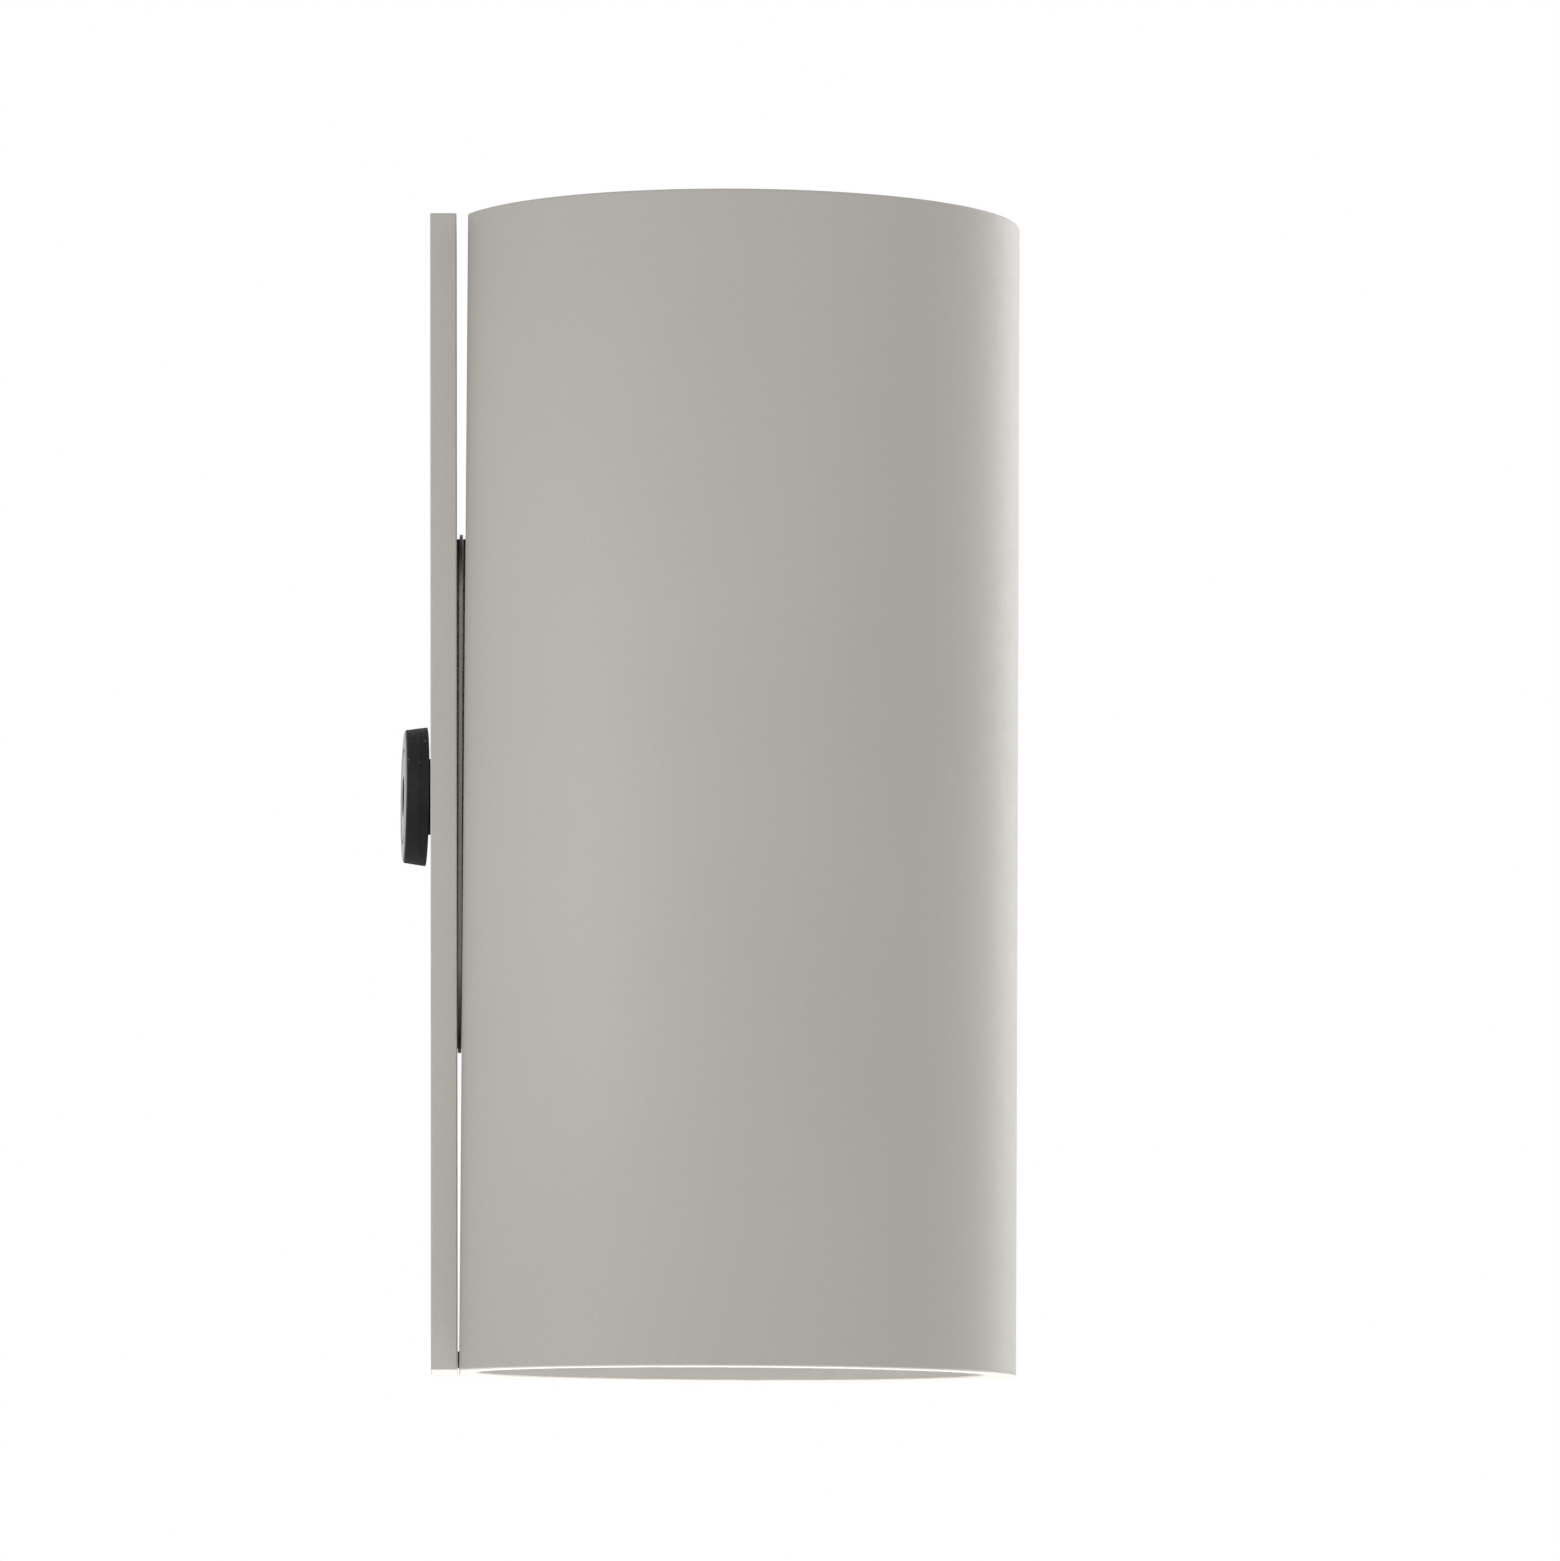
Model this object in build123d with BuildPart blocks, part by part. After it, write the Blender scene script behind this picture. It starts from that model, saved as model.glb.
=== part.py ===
from build123d import *
from math import radians, sqrt, tan
import os

# Tube wall light: a round tube, open at both ends, that hangs on a flat wall plate.
# Millimetres, +Z up. The wall is the plane Y = 0 and the light stands out to -Y.
# The origin is the middle of the wall plate's back.

# The plate and the tube are cut to one height
LIGHT_HEIGHT = 202.0

# Wall plate
PLATE_WIDTH = 33.0
PLATE_THICKNESS = 4.6
PLATE_EDGE = 0.15
WALL_SCREW_SPACING = 140.0
WALL_SCREW_HOLE_RADIUS = 2.25
WALL_SCREW_HEAD_RADIUS = 4.2
CABLE_HOLE_RADIUS = 7.0

# Tube
TUBE_RADIUS = 50.0
FLAT_DEPTH = 2.7
FLAT_CORNER = 0.6
RIM_EDGE = 0.45
TUBE_WALL = 6.8
MOUTH_WALL = 5.5
MOUTH_DEPTH = 22.5
APERTURE_WIDTH = 20.0
APERTURE_HEIGHT = 50.0

# The tube sags on its hooks, so its top stands further off the wall than its foot
TUBE_LEAN = 0.495
LEAN_START = -45.0
SQUEEZED_PAD = 0.08

# Hook bracket and the foam pads on both sides of it
BRACKET_WIDTH = 29.0
BRACKET_HEIGHT = 91.2
BRACKET_RISE = 0.6
BRACKET_THICKNESS = 0.6
PAD_INSET = 0.8
PAD_WINDOW_RADIUS = 9.2
HOOK_WIDTH = 11.0
HOOK_SPACING = 71.0
HOOK_LIP = 4.5
HOOK_BEND = 0.9
HOOK_WINDOW = 9.0
SLOT_SIDE_CLEARANCE = 1.5
BRACKET_SCREW_SPACING = 25.2
EARTH_SCREW_HEIGHT = 19.4
EARTH_WINDOW_RADIUS = 3.6

# Cable grommet, which sits a little askew in the plate
GROMMET_HEAD_FRONT_RADIUS = 12.2
GROMMET_HEAD_REAR_RADIUS = 11.65
GROMMET_HEAD_THICKNESS = 3.7
GROMMET_CROWN = 0.35
GROMMET_CROWN_REACH = 1.05
GROMMET_HEAD_STANDOFF = 0.8
GROMMET_NECK_CLEARANCE = 0.35
GROMMET_FLANGE_RADIUS = 8.3
GROMMET_FLANGE_THICKNESS = 1.2
GROMMET_FLANGE_STANDOFF = 0.5
GROMMET_CABLE_RADIUS = 3.15
GROMMET_TURN = 2.9
GROMMET_TILT = 0.66

# Stack in each mouth, from the ledge in the bore outwards
BAFFLE_THICKNESS = 1.5
BAFFLE_COLLAR_DEPTH = 5.0
BAFFLE_COLLAR_WALL = 1.2
SEAL_WIDTH = 3.7
SEAL_THICKNESS = 1.5
GLASS_THICKNESS = 3.0
GLASS_EDGE = 0.4
RING_HEIGHT = 5.5
RING_WIDTH = 3.8
RING_EDGE = 0.5
SPANNER_NOTCHES = 4
SPANNER_NOTCH_WIDTH = 3.2
SPANNER_NOTCH_DEPTH = 2.2

# Reflector lamp with a twist-lock base
LAMP_RADIUS = 25.0
LAMP_LENGTH = 45.7
LAMP_BASE_RADIUS = 10.5
LAMP_NECK_RADIUS = 13.5
LAMP_NECK_HEIGHT = 8.5
LAMP_RIM_HEIGHT = 7.0
LAMP_FINS = 18
LAMP_FIN_DEPTH = 1.4
LAMP_FIN_SHARE = 0.55
LAMP_SHOULDER_RADIUS = 24.3
LAMP_FLARE_HOLLOW = 1.2
LAMP_EDGE = 1.0
LAMP_BEHIND_LEDGE = 1.5
LENS_RADIUS = 22.4
LENS_THICKNESS = 1.5
LENS_INSET = 0.25
PIN_PITCH_RADIUS = 5.0
PIN_NECK_RADIUS = 1.5
PIN_NECK_LENGTH = 3.3
PIN_HEAD_RADIUS = 2.45
PIN_HEAD_LENGTH = 3.0
PIN_HEAD_EDGE = 0.7

# Lampholder
HOLDER_RADIUS = 13.5
HOLDER_HEIGHT = 19.0
HOLDER_EDGE = 0.8
HOLDER_FACE = 2.6
HOLDER_TWIST = 25.0
HOLDER_SCREW_PITCH_RADIUS = 9.4
HOLDER_SCREW_SINK = 3.2
HOLDER_LEAD_HEIGHT = 10.0
HOLDER_LEAD_REACH = 5.0

# Lamp carrier, one folded and lanced sheet
CARRIER_SHEET = 1.5
CARRIER_BEND = 2.5
SPINE_IN_BORE = 13.7
SPINE_WIDTH = 44.0
SPINE_TO_TAB = 6.5
TAB_WIDTH = 16.0
TAB_LENGTH = 14.0
TAB_BEHIND_LEDGE = 5.5
SHELF_WIDTH = 30.0
CARRIER_WINDOW_HEIGHT = 34.0
CARRIER_WINDOW_CUT = 6.0
CARRIER_HOLE_DEPTH = 3.0
CARRIER_EARTH_SPOT = (-18.75, 30.0)

# Terminal block, its earth tag and the leads
POLE_PITCH = 9.0
BLOCK_WIDTH = 27.0
BLOCK_HEIGHT = 17.0
BLOCK_DEPTH = 10.0
BLOCK_EDGE = 0.8
POLE_GROOVE_WIDTH = 1.0
POLE_GROOVE_DEPTH = 2.5
TERMINAL_BORE_RADIUS = 1.5
TERMINAL_BORE_FROM_SPINE = 5.0
TERMINAL_WELL_RADIUS = 2.1
TERMINAL_WELL_DEPTH = 2.0
TERMINAL_SCREW_SPACING = 9.0
LEAD_RADIUS = 0.9
LEAD_IN_BLOCK = 3.0
LEAD_BEND_SHARE = 0.45
EARTH_LEAD_BELOW_TAG = 2.5
EARTH_LEAD_BEND = 2.0
TAG_RADIUS = 2.9
TAG_THICKNESS = 0.8
TAG_BARREL_RADIUS = 1.4
TAG_BARREL_LENGTH = 3.0

# Screws, as (thread radius, head radius, head height)
M3_PAN = (1.5, 2.6, 2.0)
M35_PAN = (1.75, 3.0, 2.2)
TERMINAL_SCREW = (1.25, 1.9, 1.2)
BRACKET_SCREW_LENGTH = 4.4
EARTH_SCREW_LENGTH = 3.8
CARRIER_EARTH_SCREW_LENGTH = 5.0
CARRIER_SCREW_LENGTH = 7.5
CARRIER_SCREW_HEAD_RADIUS = 2.9
COUNTERSINK_ANGLE = 90
HEX_SHARE = 0.55
LOCK_SCREW_RADIUS = 1.5
LOCK_SCREW_LENGTH = 4.0
LOCK_SCREW_FROM_END = 2.35
LOCK_SCREW_HEX_RADIUS = 0.87
LOCK_SCREW_HEX_DEPTH = 1.5

# Clearances
THREAD_CLEARANCE = 0.05
HANG_CLEARANCE = 0.05
PAD_CLEARANCE = 0.03
RING_CLEARANCE = 0.07
STACK_CLEARANCE = 0.1
TURN_CLEARANCE = 0.05
LAMP_CLEARANCE = 0.3
PIN_CLEARANCE = 0.25
COLLAR_CLEARANCE = 1.0
HOOK_CLEARANCE = 0.3
LIFT_OVER_LIP = 1.0
FLUSH_CLEARANCE = 0.1

SEATED = (Align.CENTER, Align.CENTER, Align.MIN)
HANGING = (Align.CENTER, Align.CENTER, Align.MAX)
HALF_TURN = 180


def facing_room(standoff, lean=0.0):
    """Plane seen from the room: X across, Y up the light, Z away from the wall."""
    up = Vector(0, 0, 1).rotate(Axis.X, lean)
    out = Vector(0, -1, 0).rotate(Axis.X, lean)
    foot = Vector(0, -standoff, LEAN_START)
    return Plane(origin=foot - up * LEAN_START, x_dir=(1, 0, 0), z_dir=out)


def side_of(plane):
    """Plane square to X that looks along the light: X away from the plane, Y up."""
    return Plane(origin=plane.origin, x_dir=plane.z_dir, z_dir=(-1, 0, 0))


def section_of(frame):
    """Plane that holds the frame's own axis: X is the radius, Y runs along the axis."""
    return Plane(origin=frame.origin, x_dir=frame.x_dir, z_dir=-frame.y_dir)


def axis_of(frame):
    return Axis(frame.origin, frame.z_dir)


# Radii and depths of the tube
FLAT_FROM_AXIS = TUBE_RADIUS - FLAT_DEPTH
BORE_RADIUS = TUBE_RADIUS - TUBE_WALL
MOUTH_RADIUS = TUBE_RADIUS - MOUTH_WALL
SPINE_FROM_AXIS = BORE_RADIUS - SPINE_IN_BORE

# The layers between the plate and the tube, at the height where the lean starts
bracket_standoff = PLATE_THICKNESS + SQUEEZED_PAD
flat_standoff = bracket_standoff + BRACKET_THICKNESS + SQUEEZED_PAD

PLATE_FRONT = facing_room(PLATE_THICKNESS)
BRACKET_BACK = facing_room(bracket_standoff, TUBE_LEAN / 2)
BRACKET_FRONT = BRACKET_BACK.offset(BRACKET_THICKNESS)
FLAT = facing_room(flat_standoff, TUBE_LEAN)

# TUBE has its Z along the tube, its Y towards the wall and its origin at mid-height
TUBE = Plane(
    origin=FLAT.origin + FLAT.z_dir * FLAT_FROM_AXIS, x_dir=(1, 0, 0), z_dir=FLAT.y_dir
)
# Each end's frame points out of its own mouth, and keeps Y towards the wall
ENDS = {
    "upper": TUBE,
    "lower": Plane(origin=TUBE.origin, x_dir=-TUBE.x_dir, z_dir=-TUBE.z_dir),
}


def facing_wall(from_axis):
    """Plane inside the tube seen from the wall: Y up the tube, Z towards the wall."""
    origin = TUBE.origin + TUBE.y_dir * from_axis
    return Plane(origin=origin, x_dir=-TUBE.x_dir, z_dir=TUBE.y_dir)


def half_chord(radius, distance):
    """Half the width of a circle at a distance from its centre."""
    return sqrt(radius**2 - distance**2)


def gap_at(height):
    """Gap between the plate and the tube's flat at a height up the tube."""
    return flat_standoff - PLATE_THICKNESS + (height - LEAN_START) * tan(radians(TUBE_LEAN))


def save(piece, label):
    """Name a finished piece and write it to its own file."""
    piece.part.label = label
    export_step(piece.part, f"parts/{label}.step")


def pan_screws(plane, spots, size, length):
    """Pan-head screws with a hex socket, their heads seated on the plane."""
    thread_radius, head_radius, head_height = size
    shoulder = head_height / 2
    with Locations(plane):
        with Locations(*spots):
            Cylinder(head_radius, shoulder, align=SEATED)
            Cylinder(thread_radius, length, align=HANGING)
    with Locations(plane.offset(shoulder)):
        with Locations(*spots):
            Cone(head_radius, head_radius - shoulder / 2, shoulder, align=SEATED)
    with BuildSketch(plane.offset(head_height)) as sockets:
        with Locations(*spots):
            RegularPolygon(head_radius * HEX_SHARE, 6)
    extrude(sockets.sketch, amount=-shoulder, mode=Mode.SUBTRACT)


def lead(route):
    """Round lead swept along the line that the route holds."""
    with BuildSketch(Plane(origin=route.line @ 0, z_dir=route.line % 0)) as lead_section:
        Circle(LEAD_RADIUS)
    sweep(lead_section.sketch, path=route.line)


os.makedirs("parts", exist_ok=True)

# ---------------------------------------------------------------- heights up each end
ledge = LIGHT_HEIGHT / 2 - MOUTH_DEPTH
baffle_top = ledge + BAFFLE_THICKNESS
seal_top = baffle_top + SEAL_THICKNESS
glass_top = seal_top + GLASS_THICKNESS
ring_base = glass_top + TURN_CLEARANCE
ring_top = ring_base + RING_HEIGHT
lamp_face = ledge - LAMP_BEHIND_LEDGE
lamp_base = lamp_face - LAMP_LENGTH
holder_top = lamp_base - LAMP_CLEARANCE
holder_base = holder_top - HOLDER_HEIGHT
tab_end = ledge - TAB_BEHIND_LEDGE
tab_start = tab_end - TAB_LENGTH
spine_half_height = tab_start - SPINE_TO_TAB

# ---------------------------------------------------------------- places on the flat
hook_heights = [BRACKET_RISE + HOOK_SPACING / 2, BRACKET_RISE - HOOK_SPACING / 2]
lift_travel = HOOK_LIP + LIFT_OVER_LIP
slot_height = HANG_CLEARANCE + BRACKET_THICKNESS + lift_travel + HOOK_CLEARANCE
slot_width = HOOK_WIDTH + 2 * SLOT_SIDE_CLEARANCE
slot_spots = [(0, height + HANG_CLEARANCE - slot_height / 2) for height in hook_heights]
bracket_screw_spots = [(0, BRACKET_SCREW_SPACING / 2), (0, -BRACKET_SCREW_SPACING / 2)]
earth_spot = (0, EARTH_SCREW_HEIGHT)
carrier_screw_height = tab_start + TAB_LENGTH / 2
carrier_screw_spots = [(0, carrier_screw_height), (0, -carrier_screw_height)]
lock_screw_height = LOCK_SCREW_FROM_END - LIGHT_HEIGHT / 2

# ================================================================ wall side
with BuildPart() as wall_plate:
    with BuildSketch(Plane.XZ):
        Rectangle(PLATE_WIDTH, LIGHT_HEIGHT)
    extrude(amount=PLATE_THICKNESS)
    chamfer(wall_plate.edges(), PLATE_EDGE)
    with Locations(PLATE_FRONT):
        Hole(CABLE_HOLE_RADIUS)
        with GridLocations(0, WALL_SCREW_SPACING, 1, 2):
            CounterSinkHole(
                WALL_SCREW_HOLE_RADIUS,
                WALL_SCREW_HEAD_RADIUS,
                counter_sink_angle=COUNTERSINK_ANGLE,
            )
        with Locations(*bracket_screw_spots):
            Hole(M3_PAN[0] + THREAD_CLEARANCE)
        with Locations(earth_spot):
            Hole(M35_PAN[0] + THREAD_CLEARANCE)
save(wall_plate, "wall_plate")

# The grommet's axis is turned and tilted off the plate's own normal
grommet_direction = Vector(0, 1, 0).rotate(Axis.Z, GROMMET_TURN).rotate(Axis.X, GROMMET_TILT)
GROMMET = Plane(origin=(0, 0, 0), x_dir=(1, 0, 0), z_dir=grommet_direction)
grommet_neck_radius = CABLE_HOLE_RADIUS - GROMMET_NECK_CLEARANCE
grommet_rim = GROMMET_HEAD_STANDOFF + GROMMET_HEAD_THICKNESS
grommet_crown_start = GROMMET_HEAD_REAR_RADIUS - GROMMET_CROWN_REACH
grommet_flange_back = -PLATE_THICKNESS - GROMMET_FLANGE_STANDOFF
grommet_flange_front = grommet_flange_back - GROMMET_FLANGE_THICKNESS
with BuildPart() as cable_grommet:
    with BuildSketch(section_of(GROMMET)):
        with BuildLine():
            Polyline(
                (GROMMET_CABLE_RADIUS, grommet_rim + GROMMET_CROWN),
                (GROMMET_CABLE_RADIUS, grommet_flange_front),
                (GROMMET_FLANGE_RADIUS - GROMMET_CROWN, grommet_flange_front),
                (GROMMET_FLANGE_RADIUS, grommet_flange_back),
                (grommet_neck_radius, grommet_flange_back),
                (grommet_neck_radius, GROMMET_HEAD_STANDOFF),
                (GROMMET_HEAD_FRONT_RADIUS, GROMMET_HEAD_STANDOFF),
                (GROMMET_HEAD_REAR_RADIUS, grommet_rim),
            )
            ThreePointArc(
                (GROMMET_HEAD_REAR_RADIUS, grommet_rim),
                (
                    grommet_crown_start + GROMMET_CROWN_REACH * sqrt(0.5),
                    grommet_rim + GROMMET_CROWN * sqrt(0.5),
                ),
                (grommet_crown_start, grommet_rim + GROMMET_CROWN),
            )
            Line(
                (grommet_crown_start, grommet_rim + GROMMET_CROWN),
                (GROMMET_CABLE_RADIUS, grommet_rim + GROMMET_CROWN),
            )
        make_face()
    revolve(axis=axis_of(GROMMET))
save(cable_grommet, "cable_grommet")

pad_width = BRACKET_WIDTH - 2 * PAD_INSET
pad_height = BRACKET_HEIGHT - 2 * PAD_INSET
# The hooks are lanced out of the sheet: the upper one from below it, the lower from above
hook_window_spots = [
    (0, hook_heights[0] - BRACKET_THICKNESS - HOOK_WINDOW / 2),
    (0, hook_heights[1] + HOOK_WINDOW / 2),
]

with BuildPart() as plate_pad:
    with BuildSketch(PLATE_FRONT):
        with Locations((0, BRACKET_RISE)):
            SlotOverall(pad_height, pad_width, rotation=90)
        Circle(PAD_WINDOW_RADIUS, mode=Mode.SUBTRACT)
        with Locations(*bracket_screw_spots):
            Circle(M3_PAN[0] + THREAD_CLEARANCE, mode=Mode.SUBTRACT)
        with Locations(earth_spot):
            Circle(EARTH_WINDOW_RADIUS, mode=Mode.SUBTRACT)
        with Locations(*hook_window_spots):
            Rectangle(slot_width, HOOK_WINDOW, mode=Mode.SUBTRACT)
    extrude(amount=gap_at(LIGHT_HEIGHT / 2))
    split(bisect_by=BRACKET_BACK, keep=Keep.BOTTOM)
save(plate_pad, "plate_pad")

# How far the hooks reach out: past the pad and the tube's wall at the hook's edges
wall_at_hook = FLAT_FROM_AXIS - half_chord(BORE_RADIUS, slot_width / 2)
pad_at_hook = gap_at(hook_heights[0]) / 2
hook_reach = BRACKET_THICKNESS + pad_at_hook + wall_at_hook + HOOK_CLEARANCE
with BuildPart() as hook_bracket:
    with BuildSketch(BRACKET_BACK):
        with Locations((0, BRACKET_RISE)):
            SlotOverall(BRACKET_HEIGHT, BRACKET_WIDTH, rotation=90)
        Circle(PAD_WINDOW_RADIUS, mode=Mode.SUBTRACT)
        with Locations(*bracket_screw_spots):
            Circle(M3_PAN[0] + THREAD_CLEARANCE, mode=Mode.SUBTRACT)
        with Locations(earth_spot):
            Circle(EARTH_WINDOW_RADIUS, mode=Mode.SUBTRACT)
        with Locations(*hook_window_spots):
            Rectangle(HOOK_WIDTH, HOOK_WINDOW, mode=Mode.SUBTRACT)
    extrude(amount=BRACKET_THICKNESS)
    for height in hook_heights:
        with BuildSketch(side_of(BRACKET_BACK)):
            with BuildLine():
                FilletPolyline(
                    (0, height - BRACKET_THICKNESS),
                    (hook_reach + BRACKET_THICKNESS, height - BRACKET_THICKNESS),
                    (hook_reach + BRACKET_THICKNESS, height + HOOK_LIP),
                    radius=HOOK_BEND,
                )
                offset(amount=BRACKET_THICKNESS, side=Side.LEFT)
            make_face()
        extrude(amount=HOOK_WIDTH / 2, both=True)
save(hook_bracket, "hook_bracket")

with BuildPart() as bracket_screws:
    pan_screws(BRACKET_FRONT, bracket_screw_spots, M3_PAN, BRACKET_SCREW_LENGTH)
save(bracket_screws, "bracket_screws")

with BuildPart() as plate_earth_screw:
    pan_screws(PLATE_FRONT, [earth_spot], M35_PAN, EARTH_SCREW_LENGTH)
save(plate_earth_screw, "plate_earth_screw")

# ================================================================ tube
with BuildPart() as tube_shell:
    with BuildSketch(TUBE.offset(-LIGHT_HEIGHT / 2)) as tube_outline:
        Circle(TUBE_RADIUS)
        with Locations((0, FLAT_FROM_AXIS)):
            Rectangle(
                2 * TUBE_RADIUS, TUBE_RADIUS, align=(Align.CENTER, Align.MIN), mode=Mode.SUBTRACT
            )
        fillet(tube_outline.vertices(), FLAT_CORNER)
    extrude(amount=LIGHT_HEIGHT)
    rims = tube_shell.faces().filter_by(TUBE)
    chamfer(rims.edges(), RIM_EDGE)
    with Locations(TUBE):
        Hole(BORE_RADIUS)
    for end in ENDS.values():
        with BuildSketch(end.offset(ledge)):
            Circle(MOUTH_RADIUS)
        extrude(amount=MOUTH_DEPTH, mode=Mode.SUBTRACT)
    inner_rims = (
        tube_shell.edges()
        .filter_by(GeomType.CIRCLE)
        .filter_by(lambda edge: abs(edge.radius - MOUTH_RADIUS) < THREAD_CLEARANCE)
        .group_by(axis_of(TUBE))
    )
    chamfer(inner_rims[0] + inner_rims[-1], RIM_EDGE)
    with BuildSketch(FLAT):
        SlotOverall(APERTURE_HEIGHT, APERTURE_WIDTH, rotation=90)
        with Locations(*slot_spots):
            RectangleRounded(slot_width, slot_height, FLAT_CORNER)
        with Locations((0, lock_screw_height)):
            Circle(LOCK_SCREW_RADIUS + THREAD_CLEARANCE)
    extrude(amount=FLAT_FROM_AXIS, mode=Mode.SUBTRACT)
    with Locations(Plane(origin=FLAT.origin, x_dir=FLAT.x_dir, z_dir=-FLAT.z_dir)):
        with Locations(*carrier_screw_spots):
            CounterSinkHole(
                M3_PAN[0] + THREAD_CLEARANCE,
                CARRIER_SCREW_HEAD_RADIUS + THREAD_CLEARANCE,
                depth=FLAT_FROM_AXIS,
                counter_sink_angle=COUNTERSINK_ANGLE,
            )
save(tube_shell, "tube_shell")

with BuildPart() as tube_pad:
    with BuildSketch(FLAT):
        with Locations((0, BRACKET_RISE)):
            SlotOverall(pad_height, pad_width, rotation=90)
        SlotOverall(APERTURE_HEIGHT, APERTURE_WIDTH, rotation=90, mode=Mode.SUBTRACT)
        with Locations(*slot_spots):
            Rectangle(slot_width, slot_height, mode=Mode.SUBTRACT)
    extrude(amount=-gap_at(LIGHT_HEIGHT / 2))
    split(bisect_by=BRACKET_FRONT.offset(PAD_CLEARANCE), keep=Keep.TOP)
save(tube_pad, "tube_pad")

with BuildPart() as lock_screw:
    tip = gap_at(lock_screw_height) - PAD_CLEARANCE
    with Locations(FLAT.offset(-tip)):
        with Locations((0, lock_screw_height)):
            Cylinder(LOCK_SCREW_RADIUS, LOCK_SCREW_LENGTH, align=SEATED)
    with BuildSketch(FLAT.offset(LOCK_SCREW_LENGTH - tip)):
        with Locations((0, lock_screw_height)):
            RegularPolygon(LOCK_SCREW_HEX_RADIUS, 6)
    extrude(amount=-LOCK_SCREW_HEX_DEPTH, mode=Mode.SUBTRACT)
save(lock_screw, "lock_screw")

# ================================================================ lamp carrier
tab_from_axis = half_chord(BORE_RADIUS, TAB_WIDTH / 2) - FLUSH_CLEARANCE
shelf_front = HOLDER_RADIUS + CARRIER_SHEET
with BuildPart() as lamp_carrier:
    with BuildSketch(Plane(origin=TUBE.origin, x_dir=TUBE.y_dir, z_dir=TUBE.x_dir)):
        with BuildLine():
            FilletPolyline(
                (tab_from_axis, tab_end),
                (tab_from_axis, tab_start),
                (SPINE_FROM_AXIS, spine_half_height),
                (SPINE_FROM_AXIS, -spine_half_height),
                (tab_from_axis, -tab_start),
                (tab_from_axis, -tab_end),
                radius=CARRIER_BEND,
            )
            offset(amount=CARRIER_SHEET, side=Side.RIGHT)
        make_face()
    extrude(amount=SPINE_WIDTH / 2, both=True)
    with BuildSketch(facing_wall(0)):
        Rectangle(SPINE_WIDTH, 2 * spine_half_height)
        Rectangle(TAB_WIDTH, 2 * tab_end)
    extrude(amount=TUBE_RADIUS, mode=Mode.INTERSECT)
    for end in ENDS.values():
        with BuildSketch(end.offset(holder_base)):
            with Locations((0, SPINE_FROM_AXIS)):
                Rectangle(
                    SHELF_WIDTH,
                    SPINE_FROM_AXIS + shelf_front,
                    align=(Align.CENTER, Align.MAX),
                )
        extrude(amount=-CARRIER_SHEET)
        with BuildSketch(end.offset(holder_base)):
            with Locations((0, SPINE_FROM_AXIS)):
                Rectangle(SHELF_WIDTH, CARRIER_WINDOW_CUT)
        extrude(amount=CARRIER_WINDOW_HEIGHT, mode=Mode.SUBTRACT)
        with Locations(end.offset(holder_base)):
            with GridLocations(0, 2 * HOLDER_SCREW_PITCH_RADIUS, 1, 2):
                Hole(M3_PAN[0] + THREAD_CLEARANCE, depth=CARRIER_HOLE_DEPTH)
    with Locations(facing_wall(SPINE_FROM_AXIS)):
        with Locations(CARRIER_EARTH_SPOT):
            Hole(M3_PAN[0] + THREAD_CLEARANCE, depth=CARRIER_HOLE_DEPTH)
    with Locations(facing_wall(tab_from_axis)):
        with Locations(*carrier_screw_spots):
            Hole(M3_PAN[0] + THREAD_CLEARANCE, depth=CARRIER_HOLE_DEPTH)
save(lamp_carrier, "lamp_carrier")

with BuildPart() as carrier_screws:
    with Locations(FLAT.offset(FLUSH_CLEARANCE)):
        with Locations(*carrier_screw_spots):
            Cone(
                CARRIER_SCREW_HEAD_RADIUS - FLUSH_CLEARANCE,
                M3_PAN[0],
                CARRIER_SCREW_HEAD_RADIUS - FLUSH_CLEARANCE - M3_PAN[0],
                align=SEATED,
            )
            Cylinder(M3_PAN[0], CARRIER_SCREW_LENGTH, align=SEATED)
    with BuildSketch(FLAT.offset(FLUSH_CLEARANCE)):
        with Locations(*carrier_screw_spots):
            RegularPolygon(M3_PAN[0] * HEX_SHARE, 6)
    extrude(amount=M3_PAN[0], mode=Mode.SUBTRACT)
save(carrier_screws, "carrier_screws")

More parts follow.
